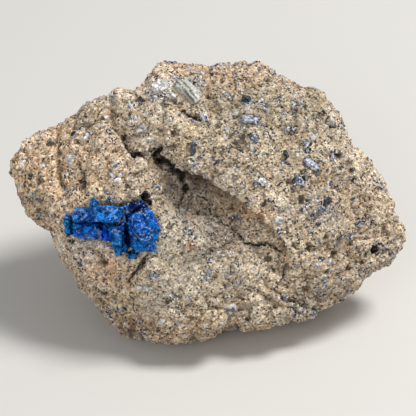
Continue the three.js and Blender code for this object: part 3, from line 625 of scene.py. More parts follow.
def clods(points, size, height, seed):
    """Rounded clods of about size, one to a seed: each a dome, 1 - (d / size)^2, that meets the next
    in a crease. The seeds are looked up at places bent by noise, so that no clod is round."""
    bend = np.stack([noise(points, size, seed + k) for k in (11, 12, 13)], axis=1)
    first, second, _, _ = seeds_near(points + 0.35 * size * bend, size, seed)
    crease = np.exp(-((second - first) / (0.12 * size)) ** 2)
    return height * (0.5 - (first / size) ** 2 - 0.5 * crease)


skin, skin_faces, skin_edges, to_crystal, to_hauyne = tuff_skin()
skin_normals = normals_of(skin, skin_faces)
face_places = to_face(skin)
shown = step(skin_normals @ FACE_AXES[2], 0.0, 0.25)        # 1 where the show face's cracks are cut
wander = [0.16 * noise(skin, 0.7, seed) + 0.10 * noise(skin, 0.25, seed + 2) for seed in (81, 82)]
jagged = face_places[:, :2] + np.stack(wander, axis=1)      # (u, v), bent so that no edge is straight


def crack_depth():
    """Depth of the cracks and pits, whichever is deeper: e^-(d / width)^2 off a crack's route, and
    sqrt(1 - (d / radius)^2) in a pit. There are none on the back."""
    depth = np.zeros(len(skin))
    for route, width, deep in CRACKS:
        depth = np.maximum(depth, deep * np.exp(-(path_distance(jagged, route) / width) ** 2))
    for u, v, radius, deep in PITS:
        reach = np.linalg.norm(jagged - [u, v], axis=1) / radius
        depth = np.maximum(depth, deep * np.sqrt(np.clip(1 - reach ** 2, 0, 1)))
    return depth * step(face_places[:, 2], -1.0, 0.5)


def hairline_places():
    """Where each point lies off the nearest hairline, in its half widths, signed and 20 at most;
    and how near that is, from 1 on the line to 0 at 8 half widths and on the back."""
    off = np.full(len(skin), np.inf)
    for route, half_width in HAIRLINES:
        here = side_of(jagged, route) / half_width
        off = np.where(np.abs(here) < np.abs(off), here, off)
    near = np.clip(1 - np.abs(off) / 8, 0, 1) * (face_places[:, 2] > -2)
    return np.clip(off, -20, 20), near


crack = crack_depth()
off_crack, near_crack = hairline_places()
swelling = sum(height * np.exp(-((jagged - [u, v]) ** 2).sum(axis=1) / reach ** 2)
               for u, v, reach, height in SWELLINGS)
under_lip = -side_of(jagged, LEDGE)                         # millimetres down from the lip, on the face
lip_ends = step(jagged[:, 0], -4.8, -3.6) * (1 - step(jagged[:, 0], 6.4, 8.2))
# The steep wall under the lip: 1 on it, and 0 above the lip, below the wall and past its ends.
wall = shown * lip_ends * step(under_lip, -0.04, 0.12) * (1 - step(under_lip, 1.2, WALL_WIDTH))
calm = 0.5 + 0.5 * step(to_crystal, 0.05, 0.5)              # less relief close to a crystal
# Less relief on the sheltered floor and on the wall, more on the left block and the foot.
floor_calm = 1 - 0.55 * np.exp(-((jagged - [-2.4, -3.2]) ** 2 / [6.0, 18.0]).sum(axis=1)) * shown
floor_calm *= 1 - 0.7 * wall
knobby = 1 + 0.8 * step(-face_places[:, 0], 5.0, 8.0) * step(face_places[:, 1], 2.0, 5.0)
knobby += 0.8 * step(-face_places[:, 1], 7.5, 9.5)
# How speckled the tuff is: least on the floor and the left block, in drifts everywhere.
speckling = 0.75 - 0.50 * np.exp(-((jagged - [-2.6, -5.5]) ** 2 / [8.0, 20.0]).sum(axis=1)) * shown
speckling -= 0.20 * step(-face_places[:, 0], 6.0, 9.0) * shown
speckling += 0.35 * step(noise(skin, 2.0, 67), 0.0, 0.6)
lumps = clods(skin, 2.6, 0.34, 3) + knobby * clods(skin, 1.25, 0.17, 5) + clods(skin, 0.62, 0.07, 7)
crumbs = 0.045 * noise(skin, 0.42, 31) + broken(skin, 0.9, 0.08, 33)
holes = pores(skin, 0.95, (0.12, 0.40), 0.45, 41) + pores(skin, 0.5, (0.09, 0.20), 0.5, 51)
# The swellings stand up, the cracks and pits are cut in, and the wall is cut back under the lip.
relief = calm * floor_calm * (lumps + crumbs) - calm * holes + shown * (swelling - crack)
relief -= LIP_DEPTH * wall
rock = skin + skin_normals * relief[:, None]
rock[:, 2] = np.maximum(rock[:, 2], 0)
rock_normals = normals_of(rock, skin_faces)
# How far the rock lies below its own mean: more than 0 in hollows, less on what stands proud.
hollowness = np.sum((eased(rock, skin_edges, 0.5, 16) - rock) * rock_normals, axis=1)


def tuff_tint():
    """Colours of the tuff: drifting tans, the weathering, painted shade and painted light of each part
    of the show face, an umber stain deepened by painted shade on the wall of the hollow, painted shade
    in hollows, cracks and pores, and a painted highlight on what stands proud."""
    tan = linear(["#d7c4a9", "#c7b297", "#ad977b", "#cac1b4", "#e6dac7"])
    tint = mixed(tan[[0]], tan[1], step(noise(skin, 1.4, 62), -0.5, 0.5))
    tint = mixed(tint, tan[2], 0.7 * step(noise(skin, 4.0, 61), 0.0, 0.6))
    tint = mixed(tint, tan[2], 0.8 * step(noise(skin, 1.5, 65), 0.2, 0.6))
    tint = mixed(tint, tan[3], 0.7 * step(noise(skin, 3.4, 63), 0.05, 0.7))
    for u, v, along, up, colour, share in WEATHERING_AND_PAINTED_SHADING:
        near = np.exp(-(((face_places[:, :2] - [u, v]) / [along, up]) ** 2).sum(axis=1))
        tint = mixed(tint, linear(colour), share * near * shown)
    # Painted shade under the lip, over its umber stain: strongest at the lip, fading down the wall and
    # towards its far end.
    lip_stain_and_shade = 1 - step(under_lip + 0.5 * noise(skin, 0.8, 66), 0.3, 1.9)
    lip_stain_and_shade *= 1 - 0.6 * step(face_places[:, 0], 0.5, 4.0)
    tint = mixed(tint, linear(UMBER_STAIN_AND_SHADE), 0.65 * lip_stain_and_shade * wall)
    # Painted highlight on what stands proud.
    tint = mixed(tint, tan[4], 0.35 * step(-hollowness, 0.02, 0.12))
    rind = 1 - step(skin_normals @ FACE_AXES[2], -0.1, 0.55)
    tint = mixed(tint, linear(RIND), 0.45 * rind * step(noise(skin, 2.2, 64), -0.6, 0.4))
    snug = step(to_hauyne, 0.3, 1.2)                        # 0 where the tuff hugs the cluster
    # Painted shade in the hollows, left out close to the cluster.
    tint = mixed(tint, linear("#6e543c"), 0.55 * snug * step(hollowness, 0.04, 0.18))
    # Painted shade: the cracks and pits nearly black, the pores dark brown.
    tint = mixed(tint, linear("#15100d"), 0.95 * step(crack, 0.14, 0.50))
    return mixed(tint, linear("#33271d"), 0.60 * np.clip(holes / 0.20, 0, 1))


rock_tint = tuff_tint()
tuff = tuff_material()
matrix_piece = make_piece("tuff_matrix", rock, skin_faces, tuff, rock_tint, speckling)
paint(matrix_piece, "cracks", (off_crack, near_crack, 0, 1))
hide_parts("matrix")

# ---------------------------------------------------------------- loose grains on the tuff

GOLDEN = (1 + math.sqrt(5)) / 2
NODULE = np.array([[s, t * GOLDEN, 0] for s in (-1, 1) for t in (-1, 1)])
NODULE = np.concatenate([np.roll(NODULE, k, axis=1) for k in range(3)]) / math.hypot(1, GOLDEN)
LATH = np.array([[x, y * (1 - 0.25 * (x > 0)), z * (1 - 0.25 * (x > 0))]
                 for x in (-1, 1) for y in (-1, 1) for z in (-1, 1)], float)


def hull_faces(corners):
    """Triangles round a few corners, pointing out, from Blender's convex hull."""
    shape = bmesh.new()
    for corner in corners:
        shape.verts.new(corner)
    bmesh.ops.convex_hull(shape, input=shape.verts)
    bmesh.ops.triangulate(shape, faces=shape.faces)
    shape.verts.index_update()
    faces = np.array([[v.index for v in face.verts] for face in shape.faces])
    shape.free()
    a, b, c = (corners[faces[:, k]] for k in range(3))
    inward = np.sum(corners[faces].mean(axis=1) * np.cross(b - a, c - a), axis=1) < 0
    faces[inward] = faces[inward][:, ::-1]
    return faces


def scattered(count, seed, front=2.0, on_wall=1.0, upper=0.0):
    """Random places on the rock, as even by area as chance makes them but front + 1 times as dense
    on the show face and upper + 1 times above the ledge, clear of the crystals and of the foot:
    places, normals and nearest corner."""
    random = np.random.default_rng(seed)
    corners = rock[skin_faces]
    a, b, c = (corners[:, k] for k in range(3))
    area = np.linalg.norm(np.cross(b - a, c - a), axis=1)
    clear = to_crystal[skin_faces].min(axis=1) > CRYSTAL_CLEARANCE
    clear &= corners[:, :, 2].min(axis=1) > FOOT_CLEARANCE
    weight = area * clear * (1 + front * shown[skin_faces[:, 0]])
    weight *= 1 - (1 - on_wall) * wall[skin_faces[:, 0]]
    weight *= 1 + upper * step(-under_lip[skin_faces[:, 0]], 0.0, 2.0)
    chosen = random.choice(len(skin_faces), count, p=weight / weight.sum())
    share = random.dirichlet((1, 1, 1), count)
    places = np.einsum("ij,ijk->ik", share, corners[chosen])
    nearest = skin_faces[chosen, 0]
    return places, rock_normals[nearest], nearest


def grains(shape, places, normals, lengths, widths, heights, lift, wobble, seed):
    """Copies of one small shape, one at each place: the place, raised by lift of the height, plus
    x along the surface in a random direction, y across it and z along a leaning normal; each corner
    is also moved by a random share of the size, wobble at most."""
    random = np.random.default_rng(seed)
    count = len(places)
    up = normals + 0.22 * random.normal(size=(count, 3))
    up /= np.linalg.norm(up, axis=1, keepdims=True)
    along = np.cross(up, random.normal(size=(count, 3)))
    along /= np.linalg.norm(along, axis=1, keepdims=True)
    across = np.cross(up, along)
    size = np.stack([lengths, widths, heights], axis=1)
    local = shape * (1 + wobble * random.uniform(-1, 1, (count, *shape.shape)))
    local = local * size[:, None, :] / 2
    corners = (local[:, :, :1] * along[:, None] + local[:, :, 1:2] * across[:, None]
               + local[:, :, 2:] * up[:, None])
    corners += (places + normals * (lift * heights)[:, None])[:, None]
    faces = hull_faces(shape)[None] + (np.arange(count) * len(shape))[:, None, None]
    corners = corners.reshape(-1, 3)
    corners[:, 2] = np.maximum(corners[:, 2], 0)
    return corners, faces.reshape(-1, 3)


def loose_piece(name, grain, colours, material):
    """A finished piece of loose grains, each of one colour; grain holds what grains() is given."""
    corners, faces = grains(**grain)
    tint = np.repeat(colours, len(grain["shape"]), axis=0)
    piece = make_piece(name, corners, faces, material, tint, smooth=False)


def ash_grains(draws):
    """Ash grains in the tuff's own colour where they lie, each a little darker or lighter."""
    places, normals, nearest = scattered(ASH_GRAINS, 11)
    width = draws.uniform(0.10, 0.28, ASH_GRAINS)
    grain = dict(shape=NODULE, places=places, normals=normals, lengths=1.3 * width, widths=width,
                 heights=0.8 * width, lift=0.0, wobble=0.28, seed=12)
    colours = rock_tint[nearest] * draws.uniform(0.85, 1.25, (ASH_GRAINS, 1))
    loose_piece("ash_grains", grain, colours, tuff)


def augite_needles(draws):
    """Black needles, most of them short, lying half in the surface."""
    places, normals, _ = scattered(AUGITE_NEEDLES, 21)
    length = draws.uniform(0.12, 0.30, AUGITE_NEEDLES) + 0.3 * draws.uniform(0, 1, AUGITE_NEEDLES) ** 5
    width = draws.uniform(0.06, 0.12, AUGITE_NEEDLES)
    grain = dict(shape=LATH, places=places, normals=normals, lengths=length, widths=width,
                 heights=width, lift=-0.25, wobble=0.15, seed=22)
    blacks = linear(["#26262a", "#3a3f4a", "#43392f", "#18181b"])
    colours = blacks[draws.integers(0, 4, AUGITE_NEEDLES)]
    loose_piece("augite_needles", grain, colours, augite_material)


def sanidine_chips(draws):
    """Pale chips, most of them small, few of them on the wall and darker there as painted shade."""
    places, normals, nearest = scattered(SANIDINE_CHIPS, 31, on_wall=0.15)
    length = draws.uniform(0.12, 0.32, SANIDINE_CHIPS) + 0.5 * draws.uniform(0, 1, SANIDINE_CHIPS) ** 8
    width = length * draws.uniform(0.35, 0.8, SANIDINE_CHIPS)
    grain = dict(shape=NODULE, places=places, normals=normals, lengths=length, widths=width,
                 heights=0.7 * width, lift=0.05, wobble=0.35, seed=32)
    pales = linear(["#ece8e0", "#c9c8c8", "#a5a8b0", "#b9b2a6", "#85878c", "#d8ccb8"])
    colours = pales[draws.integers(0, 6, SANIDINE_CHIPS)]
    # Each chip a little darker at random, and those on the wall darker still as painted shade.
    colours *= draws.uniform(0.55, 1.1, (SANIDINE_CHIPS, 1)) * (1 - 0.6 * wall[nearest])[:, None]
    loose_piece("sanidine_chips", grain, colours, sanidine_material)


def aggregates(draws):
    """Bits of sanidine and augite grown together: round each place a normal draw, wider along one
    direction of the surface than across it, brought back to the rock's nearest place."""
    places, normals, _ = scattered(AGGREGATES, 51, front=3.0, on_wall=0.3, upper=1.5)
    drawn_out = np.cross(normals, draws.normal(size=(AGGREGATES, 3)))
    drawn_out /= np.linalg.norm(drawn_out, axis=1, keepdims=True)
    across = np.cross(normals, drawn_out)
    size = draws.uniform(0.24, 0.60, AGGREGATES) * (1 + draws.uniform(0, 1, AGGREGATES) ** 4)
    bits = np.repeat(np.arange(AGGREGATES), AGGREGATE_BITS)
    offset = np.clip(draws.normal(size=(len(bits), 2)), -1.6, 1.6) * size[bits, None] * [0.60, 0.26]
    spots = places[bits] + offset[:, :1] * drawn_out[bits] + offset[:, 1:] * across[bits]
    spots, _ = nearest_on(spots, rock_object)
    length = size[bits] * draws.uniform(0.25, 0.65, len(bits))
    grain = dict(shape=NODULE, places=spots, normals=normals[bits], lengths=length,
                 widths=0.6 * length, heights=0.4 * length, lift=0.0, wobble=0.35, seed=52)
    minerals = linear(["#dfe0e2", "#a7acb8", "#6d7380", "#3a3c42", "#1d1e22", "#8e8d8c", "#c9c3b8"])
    lot = draws.choice(7, len(bits), p=[0.12, 0.18, 0.20, 0.20, 0.18, 0.08, 0.04])
    loose_piece("aggregates", grain, minerals[lot], sanidine_material)


rock_object = plain_object("rock_copy", rock, skin_faces)
shared_draws = np.random.default_rng(5)
ash_grains(shared_draws)
augite_material = crystal_material("black augite", 0.28, 1.70, 0.20, 0.5, 0.02, 0.0)
sanidine_material = crystal_material("glassy sanidine", 0.22, 1.52, 0.16, 0.30, 0.03, 0.15)
augite_needles(shared_draws)
sanidine_chips(shared_draws)
aggregates(shared_draws)

# Clusters that stand out, by kind: the middle (u, v), the size across and the colour.
IRON_SPECKS = [
    (-1.2, -3.8, 0.55, "#a8682c"), (-2.2, 8.9, 0.35, "#b8902c"), (5.3, -1.8, 0.30, "#b06a34"),
    (7.1, -5.0, 0.28, "#a86030"), (-16.6, 2.1, 0.30, "#b06b48"),
]
HAUYNE_SPECKS = [
    (11.4, 1.9, 0.36, "#2f7fb4"), (-1.4, -8.6, 0.20, "#3a6ea8"), (-13.6, -4.4, 0.34, "#5b98c8"),
    (6.9, 3.9, 0.24, "#4f86b8"), (-8.3, 8.0, 0.20, "#4c78a4"), (7.3, -2.3, 0.20, "#3f6ea6"),
]
AUGITE_SPECKS = [
    (8.8, 1.7, 0.40, "#141417"), (7.5, 1.9, 0.30, "#141417"), (-5.7, 9.7, 0.80, "#222225"),
    (7.2, 2.6, 0.34, "#17171a"), (5.9, 2.5, 0.34, "#1c1c20"), (6.5, -2.7, 0.40, "#26262a"),
    (-16.8, 1.6, 0.34, "#26282c"), (-14.8, 2.3, 0.34, "#2c2e33"), (2.6, 8.1, 0.62, "#303238"),
    (3.4, 6.3, 0.80, "#4a463f"), (-1.15, -4.05, 0.20, "#191512"), (-0.9, 8.9, 0.30, "#222224"),
    (12.2, 3.4, 0.55, "#24262b"), (11.3, 0.5, 0.40, "#1a222e"), (-12.0, -2.9, 0.60, "#201d1c"),
    (8.6, 9.6, 0.45, "#3a3a3e"),
]
SANIDINE_SPECKS = [
    (5.8, 1.9, 0.46, "#e9e5dd"), (3.1, 1.3, 0.34, "#dcd8cf"), (3.9, 0.4, 0.34, "#cfd2d6"),
    (17.1, -3.4, 0.42, "#e2dfd8"), (-1.6, -8.7, 0.42, "#aebccb"), (-2.6, -10.8, 0.60, "#b3bac4"),
    (2.7, -9.8, 0.42, "#c9c9c6"), (-4.4, -8.5, 0.50, "#dad6cc"), (11.6, 1.7, 0.42, "#b9cddd"),
    (-8.0, 2.4, 0.80, "#e8e6e6"), (-8.7, 9.0, 0.60, "#b9b5ae"), (-16.7, 3.8, 0.70, "#dcd8ce"),
    (-11.4, 5.3, 0.38, "#e4e0da"), (-12.7, 2.9, 0.36, "#e4e0da"), (-10.7, 7.6, 0.66, "#bab6b2"),
    (-8.9, 8.1, 0.40, "#e6e6e6"), (-5.4, 8.2, 0.42, "#e0e0e0"), (-8.4, 0.9, 0.46, "#cfcac2"),
    (-7.2, 0.9, 0.40, "#bcb6ae"), (8.9, 10.1, 0.36, "#dcdad6"), (-3.4, 11.2, 0.50, "#eceae6"),
    (9.4, 8.0, 0.70, "#b4aca0"), (8.6, 9.4, 0.45, "#a2a6ae"), (-4.6, -8.9, 0.34, "#cfcabf"),
    (7.6, -0.4, 0.40, "#b3bac6"), (13.4, -1.0, 0.36, "#dedad2"), (-12.8, 3.6, 0.40, "#e0dcd2"),
    (9.0, 5.6, 0.34, "#8fb0c8"), (5.2, 10.4, 0.45, "#c6beb0"), (-5.2, 10.4, 0.60, "#d9cfc0"),
]

# Clusters of both minerals: the middle (u, v) and the size across, each bit in one of the colours.
MIXED = ["#d2d8e2", "#8f99b0", "#5a6375", "#2a2d34", "#141518"]
MIXED_SPECKS = [
    (8.3, 2.1, 1.05), (9.6, 1.5, 0.50), (7.1, 3.9, 0.60), (12.3, 1.4, 0.45), (3.7, 9.4, 0.80),
    (7.6, 6.9, 0.50), (4.3, 6.2, 0.90), (5.0, 9.6, 0.55), (0.9, 3.9, 0.55), (-0.3, 7.9, 0.60),
    (6.6, -2.4, 0.55), (10.6, -4.9, 0.60), (15.2, -1.6, 0.45), (9.3, 4.9, 0.55), (-8.6, 6.6, 0.55),
    (-6.7, 9.3, 0.70), (2.3, 3.5, 0.50), (-14.9, -1.3, 0.45), (3.0, -7.2, 0.55),
]


def speck_piece(name, rows, bits, material, seed):
    """A cluster of bits of mineral at each given place: the rock's corner that lies outermost near
    the place, and bits scattered round it along the surface by a normal draw."""
    random = np.random.default_rng(seed)
    spots, ups, sizes, colours = [], [], [], []
    for u, v, across, colour in rows:
        reach = np.linalg.norm(face_places[:, :2] - [u, v], axis=1) + 9 * (shown < 0.3)
        near = np.flatnonzero(reach < reach.min() + 0.2)
        best = near[np.argmax(face_places[near, 2])]
        up = rock_normals[best]
        offset = random.normal(size=(bits, 3)) * across * 0.26
        offset -= np.outer(offset @ up, up)
        spots.append(nearest_on(rock[best] + offset, rock_object)[0])
        ups.append(np.tile(up, (bits, 1)))
        sizes.append(across * random.uniform(0.25, 0.65, bits))
        choice = linear(colour).reshape(-1, 3)
        drawn = choice[random.integers(0, len(choice), bits)]
        colours.append(drawn * random.uniform(0.8, 1.3, (bits, 1)))
    size = np.concatenate(sizes)
    grain = dict(shape=NODULE, places=np.concatenate(spots), normals=np.concatenate(ups),
                 lengths=1.2 * size, widths=0.8 * size, heights=0.6 * size, lift=0.0, wobble=0.3,
                 seed=seed + 1)
    loose_piece(name, grain, np.concatenate(colours), material)


speck_piece("rust_specks", IRON_SPECKS, 14, tuff, 41)
speck_piece("augite_specks", AUGITE_SPECKS, 8, augite_material, 43)
speck_piece("sanidine_specks", SANIDINE_SPECKS, 8, sanidine_material, 45)
mixed_rows = [(*row, MIXED) for row in MIXED_SPECKS]
speck_piece("mixed_specks", mixed_rows, 14, sanidine_material, 49)

# ---------------------------------------------------------------- the hauyne

# Colours of the cluster's grains: the middle (u, v), the reach and the colour.
HAUYNE_PATCHES = [
    (-12.4, -1.8, 0.55, "#007eb4"),             # thin teal sliver at the left end
    (-11.2, -0.9, 0.80, "#3a74be"),             # etched greyish grain
    (-10.1, 0.2, 0.45, "#0070b0"),              # spur
    (-8.6, -0.8, 1.00, "#0a88e6"),              # bright azure grain
    (-10.7, -2.4, 1.00, "#0064cc"),             # royal blue bar
    (-9.0, -2.9, 0.45, "#0040d8"),              # deep blue grain between bar and column
    (-8.0, -3.3, 0.70, "#0070b4"),              # teal column
    (-7.6, -1.7, 0.45, "#003478"),              # dark grain over the column
    (-6.3, -0.1, 0.75, "#00103c"),              # grain under the overhang, painted navy as the overhang's shade
    (-5.9, -1.9, 1.10, "#005ec2"),              # big right hand grain
    (-5.4, -3.1, 0.90, "#006cbc"),              # its lower part
    (-4.4, -2.6, 0.50, "#0064b8"),              # its right end
    (-6.6, -4.6, 0.50, "#00649c"),              # small grain at the foot
]
# Gaps between the grains: the route (u, v), the width and the depth.
HAUYNE_GAPS = [
    ([(-12.1, -1.55), (-10.5, -1.60), (-9.4, -1.65)], 0.08, 0.25),
    ([(-9.4, -1.65), (-8.3, -1.75), (-7.3, -1.75), (-7.1, -2.1)], 0.18, 0.40),
    ([(-7.15, -1.9), (-7.0, -3.2), (-6.75, -4.3)], 0.22, 0.50),
    ([(-12.15, -0.6), (-12.05, -1.8), (-12.0, -2.8)], 0.07, 0.22),
    ([(-7.2, -0.3), (-7.0, -1.5)], 0.09, 0.25),
    ([(-7.1, -1.1), (-6.4, -0.6), (-5.7, -0.2), (-5.2, -0.3)], 0.10, 0.30),
    ([(-9.3, -1.9), (-9.2, -3.0)], 0.07, 0.20),
    ([(-8.6, -2.5), (-8.5, -3.3), (-8.0, -4.1)], 0.07, 0.20),
]
HAUYNE_STREAKS = [                              # pale hairlines of etching (u, v)
    [(-7.3, 0.2), (-7.0, -0.6), (-7.4, -1.4), (-8.3, -1.6)],
    [(-8.9, -0.3), (-8.2, -0.7), (-7.9, -0.3)],
    [(-11.9, -0.5), (-11.0, -0.4), (-10.6, -0.9), (-11.2, -1.3), (-11.8, -1.1)],
    [(-8.3, -2.1), (-7.7, -2.3), (-8.0, -2.6)],
    [(-6.6, -1.4), (-6.3, -0.8), (-5.8, -0.6), (-5.3, -0.9)],
    [(-4.8, -3.9), (-4.6, -3.3), (-4.3, -3.7)],
    [(-9.5, -1.8), (-7.8, -1.75), (-7.2, -0.5)],
    [(-10.2, -1.9), (-9.4, -2.9)],
    [(-10.0, -1.8), (-9.2, -2.7)],
    [(-11.1, -3.1), (-10.5, -2.8), (-10.0, -3.0)],
    [(-6.0, -1.1), (-5.6, -1.4), (-5.7, -2.0)],
    [(-6.3, -2.6), (-5.6, -3.2), (-5.0, -3.1), (-4.7, -2.6), (-5.0, -2.1), (-5.6, -2.0), (-6.0, -2.3)],
    [(-5.9, -2.6), (-5.5, -2.7), (-5.4, -2.4)],
]

glass = crystal_material("glassy blue hauyne", 0.18, 1.50, 0.12, 0.7, 0.015, 0.15, 0.08)


def hauyne_piece():
    """The cluster: the CAD solid in fine squares, its grains broken into faces that step from one to
    the next, etched by pits. Each grain has its own blue; pale hairlines cross it, and pale specks that
    are partly crushed bits, partly painted glints; painted shade darkens it to navy in the gaps."""
    points, faces = in_squares(HAUYNE_SQUARE, "hauyne")
    edges = edges_of(faces)
    normals = normals_of(points, faces)
    bend = np.stack([noise(points, 0.4, seed) for seed in (111, 112)], axis=1)
    places = to_face(points)[:, :2] + 0.08 * bend
    gap = np.max([deep * np.exp(-(path_distance(places, route) / width) ** 4)
                  for route, width, deep in HAUYNE_GAPS], axis=0)
    gap *= 0.25 + 0.75 * step(noise(points, 0.7, 122), -0.5, 0.1)
    crest = np.exp(-(noise(points, 0.5, 117) / 0.10) ** 2)
    rising = combed(points, FACE_AXES[0] + FACE_AXES[1], 0.16, 4, 120)
    falling = combed(points, FACE_AXES[0] - 0.3 * FACE_AXES[1], 0.16, 4, 121)
    etched = np.where(noise(points, 0.9, 119) > 0, rising, falling)
    height = broken(points, 0.80, 0.20, 101) + clods(points, 0.50, 0.08, 102) + 0.06 * etched
    height += 0.05 * crest - pores(points, 0.45, (0.05, 0.14), 0.25, 105)
    points = points + normals * (height - 0.05)[:, None] - np.outer(gap, FACE_AXES[2])
    normals = normals_of(points, faces)
    hollow = np.sum((eased(points, edges, 0.5, 40) - points) * normals, axis=1)
    weights = np.stack([np.exp(-((places - [u, v]) ** 2).sum(axis=1) / reach ** 2)
                        for u, v, reach, _ in HAUYNE_PATCHES], axis=1) ** 2 + 1e-6
    blues = linear([patch[-1] for patch in HAUYNE_PATCHES])
    tint = (weights @ blues) / weights.sum(axis=1, keepdims=True)
    tint = mixed(tint, linear("#0084e0"), 0.6 * step(noise(points, 0.30, 113), 0.1, 0.6))
    tint = mixed(tint, linear("#00104e"), 0.75 * step(noise(points, 0.34, 114), 0.05, 0.40))
    tint = mixed(1.2 * tint, linear("#000e44"), 0.8 * step(-etched, 0.0, 0.4))
    tint = mixed(tint, linear("#2c86e0"), 0.4 * step(etched, 0.35, 0.75))
    tint = mixed(tint, linear("#4d8fdc"), 0.40 * crest * step(noise(points, 0.8, 118), 0.0, 0.3))
    # Pale specks: partly crushed bits, partly painted glints.
    tint = mixed(tint, linear("#b6cdf0"), 0.7 * step(noise(points, 0.15, 115), 0.58, 0.75))
    streak = np.min([path_distance(places, route) for route in HAUYNE_STREAKS], axis=0)
    pale = np.exp(-(streak / 0.05) ** 2) * step(noise(points, 0.3, 116), -0.5, 0.3)
    tint = mixed(tint, linear("#a6b2d2"), 0.85 * pale)
    # Painted shade: navy to black in the gaps and hollows between the grains.
    tint = mixed(tint, linear("#000a2c"), 0.92 * step(hollow + 0.5 * gap, 0.09, 0.30))
    piece = make_piece("hauyne_cluster", points, faces, glass, tint, smooth=False)
    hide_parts("hauyne")


hauyne_piece()
speck_piece("hauyne_specks", HAUYNE_SPECKS, 7, glass, 47)

# ---------------------------------------------------------------- small crystals

# How each kind of small crystal looks: its light and dark colours, how much the striations show in
# its colour, how much of it is crushed to dark bits, how much the ash covers and how dusty it is.
CRYSTAL_LOOKS = {
    "plate": ("#c7c6ba", "#62625a", 1.0, 0.10, 0.00, 0.85),
    "white": ("#fdfbf8", "#b6b2ad", 0.4, 0.50, 0.05, 0.50),
    "grey": ("#dcd7d0", "#7a7570", 1.0, 0.50, 0.08, 0.60),
    "dull": ("#b0a89e", "#5c564f", 1.0, 0.65, 0.12, 0.80),
    "blue": ("#d0d5e2", "#343a48", 1.0, 0.60, 0.07, 0.60),
    "augite": ("#131519", "#3c424c", 0.8, 0.20, 0.02, 0.25),
}
GREY_SANIDINE = ("sanidine_07", "sanidine_17")
DULL_SANIDINE = ("sanidine_18", "sanidine_19", "sanidine_21")
BLUE_SANIDINE = ("sanidine_05", "sanidine_10", "sanidine_12", "sanidine_20")


def look_of(name):
    """Which of the looks a small crystal has."""
    if name == "sanidine_plate":
        return "plate"
    if name.startswith("augite"):
        return "augite"
    for look, names in (("grey", GREY_SANIDINE), ("dull", DULL_SANIDINE), ("blue", BLUE_SANIDINE)):
        if name in names:
            return look
    return "white"


def small_crystal(name, seed):
    """One crystal: its CAD solid in fine squares, combed with striations along its length, broken
    and chipped, and dusted with ash where it meets the rock. Augite also stands out a little."""
    light, dark, combing, crushing, cover, dust = CRYSTAL_LOOKS[look_of(name)]
    points, faces = in_squares(SMALL_CRYSTAL_SQUARE, name)
    normals = normals_of(points, faces)
    long_axis = np.linalg.svd(points - points.mean(axis=0), full_matrices=False)[2][0]
    comb = combed(points, long_axis, 0.17, 9, seed)
    height = 0.07 * comb + broken(points, 0.55, 0.20, seed + 1) + clods(points, 0.32, 0.05, seed + 5)
    augite = name.startswith("augite")
    height -= 0.05 + 2 * cover * step(noise(points, 0.6, seed + 2), 0.05, 0.35) - 0.04 * augite
    outward = skin_normals[np.argmin(np.linalg.norm(skin - points.mean(axis=0), axis=1))]
    points = points + normals * height[:, None] + 0.12 * augite * outward
    points[:, 2] = np.maximum(points[:, 2], 0)
    shade = combing * comb + (1 - combing) * noise(points, 0.22, seed + 3)
    tint = mixed(linear([light]), linear(dark), step(shade, -0.15, 0.35))
    tint = mixed(tint, linear("#2e2d30"), crushing * step(noise(points, 0.20, seed + 6), 0.1, 0.35))
    _, away = nearest_on(points, rock_object)
    dusty = (1 - step(away, 0.02, 0.16)) * step(noise(points, 0.25, seed + 4), -0.4, 0.4)
    tint = mixed(tint, linear("#c0a683"), dust * dusty)
    piece = make_piece(name + "_crystal", points, faces,
                       augite_material if augite else sanidine_material, tint, smooth=False)
    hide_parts(name)


for k, crystal_name in enumerate(small_crystals):
    small_crystal(crystal_name, 200 + 10 * k)
bpy.data.objects.remove(rock_object)

# ---------------------------------------------------------------- stage, camera and light

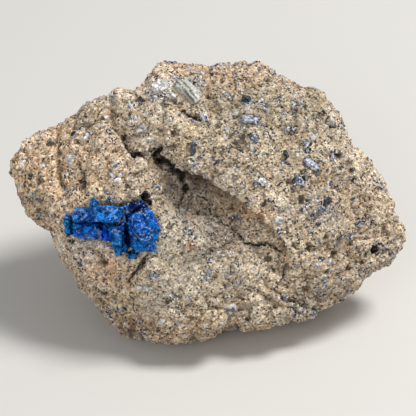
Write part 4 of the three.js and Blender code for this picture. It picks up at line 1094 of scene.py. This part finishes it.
PICTURE_SIDE = 416                          # pixels
PX = 37.8 / PICTURE_SIDE                    # millimetres that one pixel covers at the stone
CAMERA_DISTANCE = 300.0
FLOOR_REACH = 3.0                           # metres that the floor goes out from the middle
FLOOR_DROP = 0.00002                        # metres that it lies under the stone
STUDIO_LIGHT = 0.42
target = to_part([[2 * PX, -3 * PX, 0]])[0]


def look_from(thing, place, at):
    """Puts a camera or a light at a place in millimetres, turned to look at another."""
    thing.location = Vector(place) * MM
    thing.rotation_euler = (Vector(place) - Vector(at)).to_track_quat("Z", "Y").to_euler()


camera = bpy.data.objects.new("camera", bpy.data.cameras.new("camera"))
bpy.context.scene.collection.objects.link(camera)
bpy.context.scene.camera = camera
camera.data.sensor_width = 36
camera.data.lens = camera.data.sensor_width * CAMERA_DISTANCE / (PICTURE_SIDE * PX)
camera.data.clip_start = 0.001
look_from(camera, target + FACE_AXES[2] * CAMERA_DISTANCE, target)


def soft_box(name, place, size, watts):
    """A square light with soft edges, size millimetres wide, that faces the stone."""
    lamp = bpy.data.lights.new(name, "AREA")
    lamp.size = size * MM
    lamp.energy = watts
    thing = bpy.data.objects.new(name, lamp)
    bpy.context.scene.collection.objects.link(thing)
    look_from(thing, place, MIDDLE)


soft_box("key", place=(130, 20, 250), size=80, watts=0.76)
soft_box("fill", place=(-120, -260, 160), size=200, watts=0.30)

floor_corners = np.array([[-1, -1, 0], [1, -1, 0], [1, 1, 0], [-1, 1, 0]]) * FLOOR_REACH
floor = plain_object("floor", floor_corners - [0, 0, FLOOR_DROP], [[0, 1, 2, 3]])
floor_paint, tree = new_material("pale floor")
shader = node(tree, "ShaderNodeBsdfPrincipled", Base_Color=rgba("#cfccc6"), Roughness=0.8)
node(tree, "ShaderNodeOutputMaterial", Surface=shader)
floor.data.materials.append(floor_paint)

world = bpy.data.worlds.new("studio")
world.use_nodes = True
world.node_tree.nodes["Background"].inputs["Color"].default_value = rgba("#e8ecf2")
world.node_tree.nodes["Background"].inputs["Strength"].default_value = STUDIO_LIGHT
bpy.context.scene.world = world
bpy.context.scene.view_settings.view_transform = "Standard"
